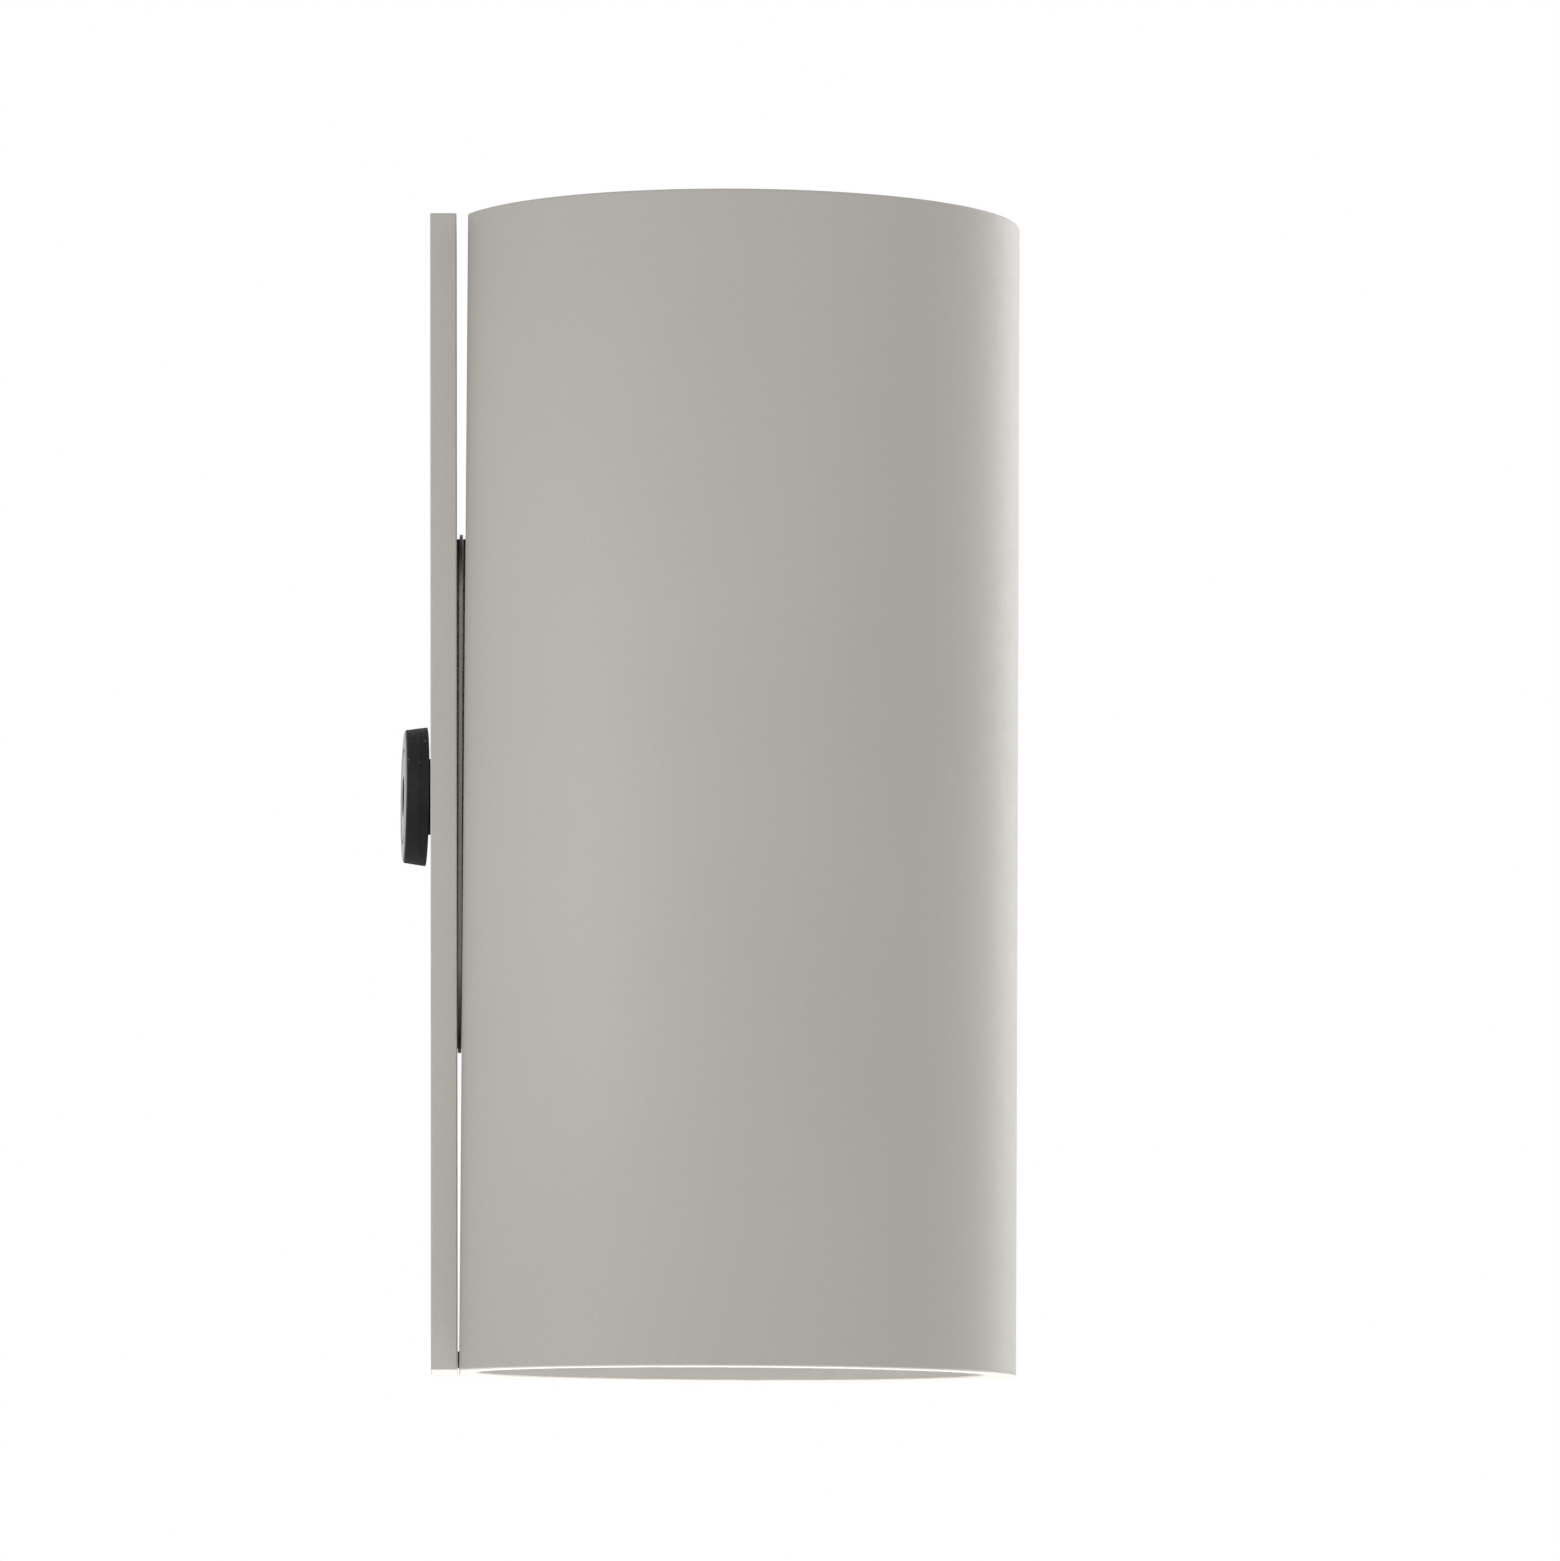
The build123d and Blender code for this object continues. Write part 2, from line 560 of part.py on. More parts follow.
# ================================================================ terminals and leads
SPINE = facing_wall(SPINE_FROM_AXIS)
BLOCK_FRONT = SPINE.offset(BLOCK_DEPTH)
well_floor = BLOCK_DEPTH - TERMINAL_WELL_DEPTH
terminal_spots = [
    (pole * POLE_PITCH, row * TERMINAL_SCREW_SPACING / 2) for pole in (-1, 0, 1) for row in (-1, 1)
]
with BuildPart() as terminal_block:
    with BuildSketch(SPINE):
        Rectangle(BLOCK_WIDTH, BLOCK_HEIGHT)
    extrude(amount=BLOCK_DEPTH)
    fillet(terminal_block.faces().sort_by(axis_of(SPINE))[-1].edges(), BLOCK_EDGE)
    with BuildSketch(BLOCK_FRONT):
        with GridLocations(POLE_PITCH, 0, 2, 1):
            Rectangle(POLE_GROOVE_WIDTH, BLOCK_HEIGHT)
    extrude(amount=-POLE_GROOVE_DEPTH, mode=Mode.SUBTRACT)
    with Locations(SPINE.offset(TERMINAL_BORE_FROM_SPINE)):
        with GridLocations(POLE_PITCH, 0, 3, 1):
            Cylinder(
                TERMINAL_BORE_RADIUS, BLOCK_HEIGHT, rotation=(90, 0, 0), mode=Mode.SUBTRACT
            )
    with Locations(BLOCK_FRONT):
        with Locations(*terminal_spots):
            CounterBoreHole(
                TERMINAL_SCREW[0] + THREAD_CLEARANCE,
                TERMINAL_WELL_RADIUS,
                TERMINAL_WELL_DEPTH,
                depth=BLOCK_DEPTH - TERMINAL_BORE_FROM_SPINE,
            )
save(terminal_block, "terminal_block")

with BuildPart() as terminal_screws:
    terminal_screw_length = well_floor - TERMINAL_BORE_FROM_SPINE - LEAD_RADIUS - THREAD_CLEARANCE
    pan_screws(SPINE.offset(well_floor), terminal_spots, TERMINAL_SCREW, terminal_screw_length)
save(terminal_screws, "terminal_screws")

bore_from_axis = SPINE_FROM_AXIS + TERMINAL_BORE_FROM_SPINE
lead_start = BLOCK_HEIGHT / 2 - LEAD_IN_BLOCK
lead_height = holder_base + HOLDER_LEAD_HEIGHT
lead_end = half_chord(HOLDER_RADIUS, POLE_PITCH) - HOLDER_LEAD_REACH + LAMP_CLEARANCE
lead_bend = LEAD_BEND_SHARE * (lead_height - lead_start)
for label, pole in (("live_leads", -1), ("neutral_leads", 1)):
    with BuildPart() as leads:
        side = Plane(
            origin=TUBE.origin + Vector(pole * POLE_PITCH, 0, 0),
            x_dir=TUBE.y_dir,
            z_dir=TUBE.x_dir,
        )
        with BuildLine(side) as route:
            FilletPolyline(
                (bore_from_axis, lead_start),
                (bore_from_axis, lead_height),
                (lead_end, lead_height),
                radius=lead_bend,
            )
        lead(route)
        mirror(about=TUBE)
    save(leads, label)

tag_x, tag_height = CARRIER_EARTH_SPOT
tag_barrel_top = tag_height - TAG_RADIUS / 2
tag_barrel_base = tag_barrel_top - TAG_BARREL_LENGTH
with BuildPart() as earth_tag:
    with BuildSketch(SPINE):
        with Locations(CARRIER_EARTH_SPOT):
            Circle(TAG_RADIUS)
            Circle(M3_PAN[0] + THREAD_CLEARANCE, mode=Mode.SUBTRACT)
    extrude(amount=TAG_THICKNESS)
    with BuildSketch(TUBE.offset(tag_barrel_base)):
        with Locations((-tag_x, SPINE_FROM_AXIS + TAG_BARREL_RADIUS)):
            Circle(TAG_BARREL_RADIUS)
    extrude(amount=TAG_RADIUS / 2)
save(earth_tag, "earth_tag")

earth_lead_crossing = tag_barrel_base - EARTH_LEAD_BELOW_TAG
with BuildPart() as earth_lead:
    with BuildLine(TUBE) as route:
        FilletPolyline(
            (0, bore_from_axis, lead_start),
            (0, bore_from_axis, earth_lead_crossing),
            (-tag_x, SPINE_FROM_AXIS + TAG_BARREL_RADIUS, earth_lead_crossing),
            (-tag_x, SPINE_FROM_AXIS + TAG_BARREL_RADIUS, tag_barrel_base),
            radius=EARTH_LEAD_BEND,
        )
    lead(route)
save(earth_lead, "earth_lead")

with BuildPart() as carrier_earth_screw:
    pan_screws(
        SPINE.offset(TAG_THICKNESS), [CARRIER_EARTH_SPOT], M3_PAN, CARRIER_EARTH_SCREW_LENGTH
    )
save(carrier_earth_screw, "carrier_earth_screw")

# ================================================================ lampholders
holder_screw_spots = [(0, HOLDER_SCREW_PITCH_RADIUS), (0, -HOLDER_SCREW_PITCH_RADIUS)]
slot_wide = 2 * (PIN_HEAD_RADIUS + PIN_CLEARANCE)
slot_narrow = 2 * (PIN_NECK_RADIUS + PIN_CLEARANCE)
chamber_depth = PIN_NECK_LENGTH + PIN_HEAD_LENGTH + LAMP_CLEARANCE
# From where each pin is locked to where it drops in
pin_paths = [CenterArc((0, 0), PIN_PITCH_RADIUS, start, HOLDER_TWIST) for start in (0, HALF_TURN)]
for name, end in ENDS.items():
    with BuildPart() as lampholder:
        with BuildSketch(end.offset(holder_base)):
            Circle(HOLDER_RADIUS)
        extrude(amount=HOLDER_HEIGHT)
        fillet(lampholder.faces().sort_by(axis_of(end))[-1].edges(), HOLDER_EDGE)
        # Each pin drops in at a wide hole and turns under the face plate
        with BuildSketch(end.offset(holder_top)):
            for path in pin_paths:
                SlotArc(path, slot_narrow)
                with Locations(path @ 1):
                    Circle(slot_wide / 2)
        extrude(amount=-HOLDER_FACE, mode=Mode.SUBTRACT)
        with BuildSketch(end.offset(holder_top - HOLDER_FACE)):
            for path in pin_paths:
                SlotArc(path, slot_wide)
        extrude(amount=HOLDER_FACE - chamber_depth, mode=Mode.SUBTRACT)
        with Locations(end.offset(holder_top)):
            with Locations(*holder_screw_spots):
                CounterBoreHole(
                    M3_PAN[0] + THREAD_CLEARANCE, M3_PAN[1] + LAMP_CLEARANCE, HOLDER_SCREW_SINK
                )
        with BuildSketch(
            Plane(origin=end.origin + end.y_dir * HOLDER_RADIUS, x_dir=end.x_dir, z_dir=-end.y_dir)
        ):
            with Locations((-POLE_PITCH, lead_height), (POLE_PITCH, lead_height)):
                Circle(LEAD_RADIUS + PIN_CLEARANCE)
        extrude(
            amount=HOLDER_RADIUS - lead_end + LAMP_CLEARANCE,
            mode=Mode.SUBTRACT,
        )
    save(lampholder, f"{name}_lampholder")

with BuildPart() as holder_screws:
    for end in ENDS.values():
        pan_screws(
            end.offset(holder_top - HOLDER_SCREW_SINK),
            holder_screw_spots,
            M3_PAN,
            HOLDER_HEIGHT - HOLDER_SCREW_SINK + CARRIER_SHEET,
        )
save(holder_screws, "holder_screws")

# ================================================================ each mouth
collar_radius = LAMP_RADIUS + COLLAR_CLEARANCE
stack_radius = MOUTH_RADIUS - STACK_CLEARANCE
ring_radius = MOUTH_RADIUS - RING_CLEARANCE
for name, end in ENDS.items():
    with BuildPart() as baffle:
        with BuildSketch(section_of(end)):
            with BuildLine():
                Polyline(
                    (collar_radius, ledge - BAFFLE_COLLAR_DEPTH),
                    (collar_radius + BAFFLE_COLLAR_WALL, ledge - BAFFLE_COLLAR_DEPTH),
                    (collar_radius + BAFFLE_COLLAR_WALL, ledge),
                    (stack_radius, ledge),
                    (stack_radius, baffle_top),
                    (collar_radius, baffle_top),
                    close=True,
                )
            make_face()
        revolve(axis=axis_of(end))
    save(baffle, f"{name}_baffle")

    with BuildPart() as seal:
        with BuildSketch(end.offset(baffle_top)):
            Circle(stack_radius)
            Circle(stack_radius - SEAL_WIDTH, mode=Mode.SUBTRACT)
        extrude(amount=SEAL_THICKNESS)
    save(seal, f"{name}_seal")

    with BuildPart() as glass:
        with BuildSketch(end.offset(seal_top)):
            Circle(stack_radius)
        extrude(amount=GLASS_THICKNESS)
        chamfer(glass.edges().filter_by(GeomType.CIRCLE), GLASS_EDGE)
    save(glass, f"{name}_glass")

    with BuildPart() as retaining_ring:
        with BuildSketch(end.offset(ring_base)):
            Circle(ring_radius)
            Circle(ring_radius - RING_WIDTH, mode=Mode.SUBTRACT)
        extrude(amount=RING_HEIGHT)
        chamfer(retaining_ring.faces().sort_by(axis_of(end))[-1].edges(), RING_EDGE)
        with BuildSketch(end.offset(ring_top)):
            with PolarLocations(ring_radius - RING_WIDTH, SPANNER_NOTCHES):
                Rectangle(RING_WIDTH, SPANNER_NOTCH_WIDTH)
        extrude(amount=-SPANNER_NOTCH_DEPTH, mode=Mode.SUBTRACT)
    save(retaining_ring, f"{name}_retaining_ring")

# ================================================================ lamps
neck_top = lamp_base + LAMP_NECK_HEIGHT
rim_base = lamp_face - LAMP_RIM_HEIGHT
lens_floor = lamp_face - LENS_THICKNESS
lens_seat_radius = LENS_RADIUS + STACK_CLEARANCE
fin_root = 2 * LAMP_FIN_DEPTH
fin_arc = LAMP_FIN_SHARE * 360 / LAMP_FINS


def flare(outset):
    """Three points of the arc from the lamp's neck to its rim."""
    middle_radius = (LAMP_NECK_RADIUS + LAMP_SHOULDER_RADIUS) / 2 - LAMP_FLARE_HOLLOW
    return (
        (LAMP_NECK_RADIUS + outset, neck_top),
        (middle_radius + outset, (neck_top + rim_base) / 2),
        (LAMP_SHOULDER_RADIUS + outset, rim_base),
    )


for name, end in ENDS.items():
    with BuildPart() as lamp_body:
        with BuildSketch(section_of(end)):
            with BuildLine():
                Polyline(
                    (0, lens_floor),
                    (0, lamp_base),
                    (LAMP_BASE_RADIUS - LAMP_EDGE, lamp_base),
                    (LAMP_BASE_RADIUS, lamp_base + LAMP_EDGE),
                    (LAMP_BASE_RADIUS, neck_top - LAMP_EDGE),
                    (LAMP_NECK_RADIUS - LAMP_FIN_DEPTH, neck_top),
                )
                ThreePointArc(*flare(-LAMP_FIN_DEPTH))
                Polyline(
                    (LAMP_SHOULDER_RADIUS - LAMP_FIN_DEPTH, rim_base),
                    (LAMP_RADIUS, rim_base),
                    (LAMP_RADIUS, lamp_face - LAMP_EDGE),
                    (LAMP_RADIUS - LAMP_EDGE, lamp_face),
                    (lens_seat_radius, lamp_face),
                    (lens_seat_radius, lens_floor),
                    (0, lens_floor),
                )
            make_face()
        revolve(axis=axis_of(end))
        for fin in range(LAMP_FINS):
            start = end.rotated((0, 0, fin * 360 / LAMP_FINS))
            with BuildSketch(section_of(start)):
                with BuildLine():
                    ThreePointArc(*flare(0))
                    Polyline(
                        (LAMP_SHOULDER_RADIUS, rim_base),
                        (LAMP_SHOULDER_RADIUS - fin_root, rim_base),
                        (LAMP_NECK_RADIUS - fin_root, neck_top),
                        (LAMP_NECK_RADIUS, neck_top),
                    )
                make_face()
            revolve(axis=axis_of(end), revolution_arc=fin_arc)
    save(lamp_body, f"{name}_lamp_body")

    with BuildPart() as lamp_lens:
        with BuildSketch(end.offset(lens_floor)):
            Circle(LENS_RADIUS)
        extrude(amount=LENS_THICKNESS - LENS_INSET)
        chamfer(lamp_lens.faces().sort_by(axis_of(end))[-1].edges(), LENS_INSET)
    save(lamp_lens, f"{name}_lamp_lens")

    with BuildPart() as lamp_pins:
        with BuildSketch(end.offset(lamp_base)):
            with PolarLocations(PIN_PITCH_RADIUS, 2):
                Circle(PIN_NECK_RADIUS)
        extrude(amount=-PIN_NECK_LENGTH)
        with BuildSketch(end.offset(lamp_base - PIN_NECK_LENGTH)):
            with PolarLocations(PIN_PITCH_RADIUS, 2):
                Circle(PIN_HEAD_RADIUS)
        extrude(amount=-PIN_HEAD_LENGTH)
        chamfer(lamp_pins.edges().group_by(axis_of(end))[0], PIN_HEAD_EDGE)
    save(lamp_pins, f"{name}_lamp_pins")
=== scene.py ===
"""Tube wall light: the finished pieces, their materials, the stage and the camera.

Every length that a user meets is in millimetres and every mesh is in metres. +Z is up and the
wall is the plane Y = 0, with the light in front of it at -Y.
"""

import math

import bmesh
import bpy
from bpy.props import FloatProperty, FloatVectorProperty, IntProperty, PointerProperty
from mathutils import Matrix, Vector, noise


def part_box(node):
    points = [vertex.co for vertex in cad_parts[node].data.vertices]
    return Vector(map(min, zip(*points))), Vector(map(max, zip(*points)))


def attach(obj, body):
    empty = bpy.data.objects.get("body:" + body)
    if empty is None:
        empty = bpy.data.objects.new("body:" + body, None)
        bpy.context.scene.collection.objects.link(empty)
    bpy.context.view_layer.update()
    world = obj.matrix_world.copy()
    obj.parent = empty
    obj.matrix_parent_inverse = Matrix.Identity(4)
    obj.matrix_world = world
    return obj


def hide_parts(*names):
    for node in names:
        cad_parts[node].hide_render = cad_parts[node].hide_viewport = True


bl_info = {
    "name": "Tube wall light",
    "version": (1, 0, 0),
    "blender": (4, 5, 0),
    "location": "3D View > Sidebar > Wall light",
    "description": "Builds the finished pieces of a tube wall light on its fixed frame",
    "category": "Object",
}

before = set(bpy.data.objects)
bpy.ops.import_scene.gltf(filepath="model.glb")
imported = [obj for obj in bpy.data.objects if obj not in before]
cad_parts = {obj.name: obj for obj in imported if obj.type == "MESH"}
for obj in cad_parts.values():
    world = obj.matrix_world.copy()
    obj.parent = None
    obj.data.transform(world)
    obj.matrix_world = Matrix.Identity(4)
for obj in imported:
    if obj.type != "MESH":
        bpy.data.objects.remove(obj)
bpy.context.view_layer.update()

MM = 0.001
UP = Vector((0, 0, 1))

# ---------------------------------------------------------------- where things are, in mm
PLATE_THICKNESS = 4.6
BRACKET_THICKNESS = 0.6
SQUEEZED_PAD = 0.08
TUBE_LEAN = 0.495
LEAN_START = -45.0
FLAT_FROM_AXIS = 47.3
GROMMET_TURN, GROMMET_TILT = 2.9, 0.66
LAMP_FACE = 77.0
LAMP_BASE = 31.3
HOLDER_TOP = 31.0
LEDGE = 78.5
BAFFLE_TOP = 80.0
SEAL_TOP = 81.5
GLASS_TOP = 84.5
RING_BASE = 84.55
RING_TOP = 90.05
# Stretches over which a finish changes: the polish near the grommet's rear face, measured
# along its axis, and the painted light on the hook bracket's top end, measured by height
POLISH_STARTS = (4.58, 4.72)
PAINTED_LIGHT_TOP = (33.5, 37.5)

# ---------------------------------------------------------------- shared settings
# Spans of a pattern's values: all of it, what most of a noise lies between, and its middle
WHOLE = (0.0, 1.0)
CLOUDS = (0.3, 0.7)
CLOUD_MIDDLES = (0.42, 0.58)
DOMES_ACROSS = 15
M3_PAN_SCREW = {"head": (2.6, 2.0), "socket": (1.4, 1.0), "thread": (1.5, 0.5)}


def frame_matrix(origin, z_axis, y_hint):
    """Matrix in metres of a frame at origin (mm) with the given Z, and Y close to y_hint."""
    z_axis = z_axis.normalized()
    x_axis = y_hint.cross(z_axis).normalized()
    y_axis = z_axis.cross(x_axis)
    turn = Matrix((x_axis, y_axis, z_axis)).transposed().to_4x4()
    return Matrix.Translation(origin * MM) @ turn


def facing_room(standoff, lean_degrees=0.0):
    """Frame seen from the room: Y up the light from mid-height and Z out, off the wall."""
    lean = Matrix.Rotation(math.radians(lean_degrees), 3, "X")
    up = lean @ UP
    foot = Vector((0, -standoff, LEAN_START))
    return frame_matrix(foot - up * LEAN_START, lean @ Vector((0, -1, 0)), up)


def shifted(place, x, y, z):
    """The frame moved by millimetres along its own axes."""
    return place @ Matrix.Translation(Vector((x, y, z)) * MM)


BRACKET_BACK = PLATE_THICKNESS + SQUEEZED_PAD
PLATE_FRONT = facing_room(PLATE_THICKNESS)
BRACKET_FRONT = shifted(facing_room(BRACKET_BACK, TUBE_LEAN / 2), 0, 0, BRACKET_THICKNESS)
FLAT = facing_room(BRACKET_BACK + BRACKET_THICKNESS + SQUEEZED_PAD, TUBE_LEAN)
TUBE_ORIGIN = shifted(FLAT, 0, 0, FLAT_FROM_AXIS).translation / MM
TUBE_AXIS = FLAT.col[1].to_3d()
TO_WALL = -FLAT.col[2].to_3d()
ENDS = {
    "upper": frame_matrix(TUBE_ORIGIN, TUBE_AXIS, TO_WALL),
    "lower": frame_matrix(TUBE_ORIGIN, -TUBE_AXIS, TO_WALL),
}
GROMMET_AXIS = Matrix.Rotation(math.radians(GROMMET_TILT), 3, "X") @ (
    Matrix.Rotation(math.radians(GROMMET_TURN), 3, "Z") @ Vector((0, 1, 0))
)
GROMMET = frame_matrix(Vector((0, 0, 0)), GROMMET_AXIS, UP)


# ---------------------------------------------------------------- colour and nodes
def linear(hex_colour):
    """Linear red, green and blue of an sRGB hex colour."""
    channels = [int(hex_colour[i : i + 2], 16) / 255 for i in (1, 3, 5)]
    return tuple(c / 12.92 if c <= 0.04045 else ((c + 0.055) / 1.055) ** 2.4 for c in channels)


def toned(colour, factor):
    """The colour made lighter or darker by a factor."""
    return tuple(min(channel * factor, 1.0) for channel in colour)


def add_node(tree, kind, inputs=None, output=None, **settings):
    """Add a node with its settings, and set or link its inputs by name or number.

    It returns the named output, or else the first one that these settings use.
    """
    node = tree.nodes.new(kind)
    for name, value in settings.items():
        setattr(node, name, value)
    for socket, value in (inputs or {}).items():
        if isinstance(value, bpy.types.NodeSocket):
            tree.links.new(value, node.inputs[socket])
        else:
            node.inputs[socket].default_value = value
    if output:
        return node.outputs[output]
    return next((socket for socket in node.outputs if socket.enabled), None)


class Surface:
    """A new material, whose Principled shader takes its colour and relief from patterns."""

    def __init__(self, name, **shader_values):
        self.material = bpy.data.materials.new(name)
        self.material.use_nodes = True
        self.tree = self.material.node_tree
        self.tree.nodes.clear()
        values = {socket.replace("_", " "): value for socket, value in shader_values.items()}
        shaded = add_node(self.tree, "ShaderNodeBsdfPrincipled", values)
        add_node(self.tree, "ShaderNodeOutputMaterial", {"Surface": shaded})
        self.shader = shaded.node
        self.coords = add_node(self.tree, "ShaderNodeTexCoord", output="Object")
        self.base = None
        self.normal = None

    def noise(self, size_mm, detail=2.0, stretch=(1, 1, 1)):
        """Noise from 0 to 1 whose grains are about size_mm across, times stretch."""
        grains = {"Vector": self.coords, "Scale": tuple(1 / (size_mm * MM * s) for s in stretch)}
        coords = add_node(self.tree, "ShaderNodeMapping", grains)
        texture = {"Vector": coords, "Scale": 1.0, "Detail": detail}
        return add_node(self.tree, "ShaderNodeTexNoise", texture)

    def cells(self, size_mm, reach=1.0):
        """Cells about size_mm apart: 0 in their middles, and 1 at reach times that from them."""
        texture = {"Vector": self.coords, "Scale": 1 / (size_mm * MM)}
        distance = add_node(self.tree, "ShaderNodeTexVoronoi", texture)
        return add_node(self.tree, "ShaderNodeMapRange", {"Value": distance, "From Max": reach})

    def drive(self, socket, pattern, low, high, span=CLOUDS, node=None):
        """Let a pattern move a value from low to high while it rises through its span."""
        start, end = span
        spread = {"From Min": start, "From Max": end, "To Min": low, "To Max": high}
        value = add_node(self.tree, "ShaderNodeMapRange", {"Value": pattern, **spread})
        self.tree.links.new(value, (node or self.shader).inputs[socket])

    def tint(self, pattern, over, under=None, span=CLOUDS, share=(0.0, 1.0)):
        """Lay a colour over another, or over the earlier layers, by a share that follows a pattern."""
        pair = {"A": (*under, 1.0) if under else self.base, "B": (*over, 1.0)}
        self.base = add_node(self.tree, "ShaderNodeMix", pair, data_type="RGBA")
        self.drive("Factor", pattern, *share, span, self.base.node)
        self.tree.links.new(self.base, self.shader.inputs["Base Color"])

    def relief(self, pattern, depth_mm):
        """Raise the surface by the pattern times depth_mm, on top of an earlier relief."""
        inputs = {"Height": pattern, "Distance": depth_mm * MM, "Strength": 1.0}
        if self.normal:
            inputs["Normal"] = self.normal
        self.normal = add_node(self.tree, "ShaderNodeBump", inputs)
        self.tree.links.new(self.normal, self.shader.inputs["Normal"])


# ---------------------------------------------------------------- materials
def powder_coated_aluminium(name, colour):
    """Aluminium under a baked polyester powder coat with a fine matt texture."""
    # The melted powder leaves a shallow orange peel, and the texture a grain that catches
    # light near the limb. The real grain of 0.2 mm is drawn at 0.45 mm so that it shows.
    finish = bpy.context.scene.wall_light_finish
    coat = Surface(name, IOR=1.5, Specular_IOR_Level=0.45)
    coat.tint(coat.noise(38.0, 3.0), toned(colour, 1.015), toned(colour, 0.985))
    grain = coat.noise(finish.paint_grain)
    coat.tint(grain, toned(colour, 1.12), span=(0.35, 0.75), share=(0.0, 0.35))
    coat.drive("Roughness", coat.noise(2.5), 0.54, 0.58)
    coat.relief(coat.noise(finish.orange_peel), 0.004)
    coat.relief(grain, finish.grain_depth)
    return coat.material


def moulded_epdm_rubber(name, colour):
    """EPDM rubber, compression moulded: dull black sides with a soft sheen and a little dust."""
    dust = bpy.context.scene.wall_light_finish.dust
    rubber = Surface(name, IOR=1.52, Specular_IOR_Level=0.22, Coat_Roughness=0.1)
    rubber.tint(rubber.noise(6.0, 4.0), toned(colour, 1.35), toned(colour, 0.8))
    rubber.tint(rubber.cells(2.2), linear("#B9B2A8"), span=(0.03, 0.09), share=(dust, 0.0))
    # The grommet's rear face came off a polished mould wall, and shines at a low angle
    axis = {0: rubber.coords, 1: tuple(GROMMET_AXIS)}
    along = add_node(rubber.tree, "ShaderNodeVectorMath", axis, operation="DOT_PRODUCT")
    rubber.drive("Coat Weight", along, 0.0, 0.6, [level * MM for level in POLISH_STARTS])
    rubber.drive("Roughness", rubber.noise(1.2), 0.6, 0.75)
    rubber.relief(rubber.noise(0.35, 3.0), 0.01)
    return rubber.material


def gasket_foam(name, colour):
    """Closed-cell polyethylene foam, die cut: matt black with fine broken cells."""
    foam = Surface(name, IOR=1.4, Roughness=0.9, Specular_IOR_Level=0.2)
    cells = foam.cells(0.4, 0.7)
    foam.tint(cells, toned(colour, 0.6), toned(colour, 1.6), WHOLE)
    foam.relief(cells, 0.05)
    return foam.material


def zinc_plated_steel(name, colour):
    """Cold rolled steel sheet, zinc plated and clear passivated: grey metal with a faint tint."""
    zinc = Surface(name, Metallic=1.0)
    zinc.tint(zinc.noise(7.0, 4.0), toned(colour, 1.08), toned(colour, 0.85))
    zinc.tint(zinc.noise(18.0, 1.0), linear("#B8B7A0"), share=(0.0, 0.35))
    rolled = zinc.noise(0.25, stretch=(1, 1, 60))
    zinc.drive("Roughness", rolled, 0.3, 0.45)
    zinc.relief(rolled, 0.006)
    return zinc.material


def phosphated_steel(name, colour):
    """Steel sheet, zinc phosphated: fine grey crystals that scatter light, duller than plate."""
    phosphate = Surface(name, Metallic=0.5)
    crystals = phosphate.cells(0.5, 0.8)
    phosphate.tint(crystals, toned(colour, 0.9), toned(colour, 1.1), WHOLE)
    # Painted light: its top end is painted paler, for the light that falls into the gap above it
    place = {"Vector": phosphate.coords}
    height = add_node(phosphate.tree, "ShaderNodeSeparateXYZ", place, "Z")
    phosphate.tint(height, linear("#E4E2DE"), span=[level * MM for level in PAINTED_LIGHT_TOP])
    phosphate.drive("Roughness", phosphate.noise(3.0), 0.5, 0.65)
    phosphate.relief(crystals, 0.006)
    return phosphate.material


def black_oxide_steel(name, colour):
    """Alloy steel, blackened hot: a dark blue-brown skin that keeps the metal's gloss."""
    oxide = Surface(name, Metallic=1.0)
    stain = oxide.noise(0.8, 3.0)
    oxide.tint(stain, linear("#3A3430"), toned(colour, 0.8))
    oxide.drive("Roughness", stain, 0.35, 0.5, CLOUD_MIDDLES)
    oxide.relief(oxide.noise(0.15), 0.003)
    return oxide.material


def black_anodised_aluminium(name, colour):
    """Turned aluminium, bead blasted and anodised black: a fine satin grain, worn paler in places."""
    skin = Surface(name, Metallic=0.35)
    skin.tint(skin.noise(4.0, 4.0), toned(colour, 2.2), colour, (0.5, 0.8), (0.0, 0.6))
    bead = skin.noise(0.3)
    skin.drive("Roughness", bead, 0.36, 0.5)
    skin.relief(bead, 0.006)
    return skin.material


def toughened_glass(name, colour):
    """Float glass, cut round, ground at the edge and toughened: clear, faintly green."""
    glass = Surface(name, IOR=1.52, Transmission_Weight=1.0)
    smear, span, share = glass.noise(9.0, 3.0), (0.45, 0.8), (0.0, 0.03)
    glass.drive("Roughness", smear, *share, span)
    glass.tint(smear, toned(colour, 0.97), colour, span, share)
    return glass.material


def steatite_ceramic(name, colour):
    """Steatite, pressed and fired unglazed: off-white, dull, with fine pits."""
    ceramic = Surface(name, IOR=1.6, Specular_IOR_Level=0.4)
    ceramic.tint(ceramic.noise(5.0, 4.0), colour, toned(colour, 0.93))
    pits = ceramic.noise(0.4, 4.0)
    ceramic.drive("Roughness", pits, 0.45, 0.65)
    ceramic.relief(pits, 0.02)
    return ceramic.material


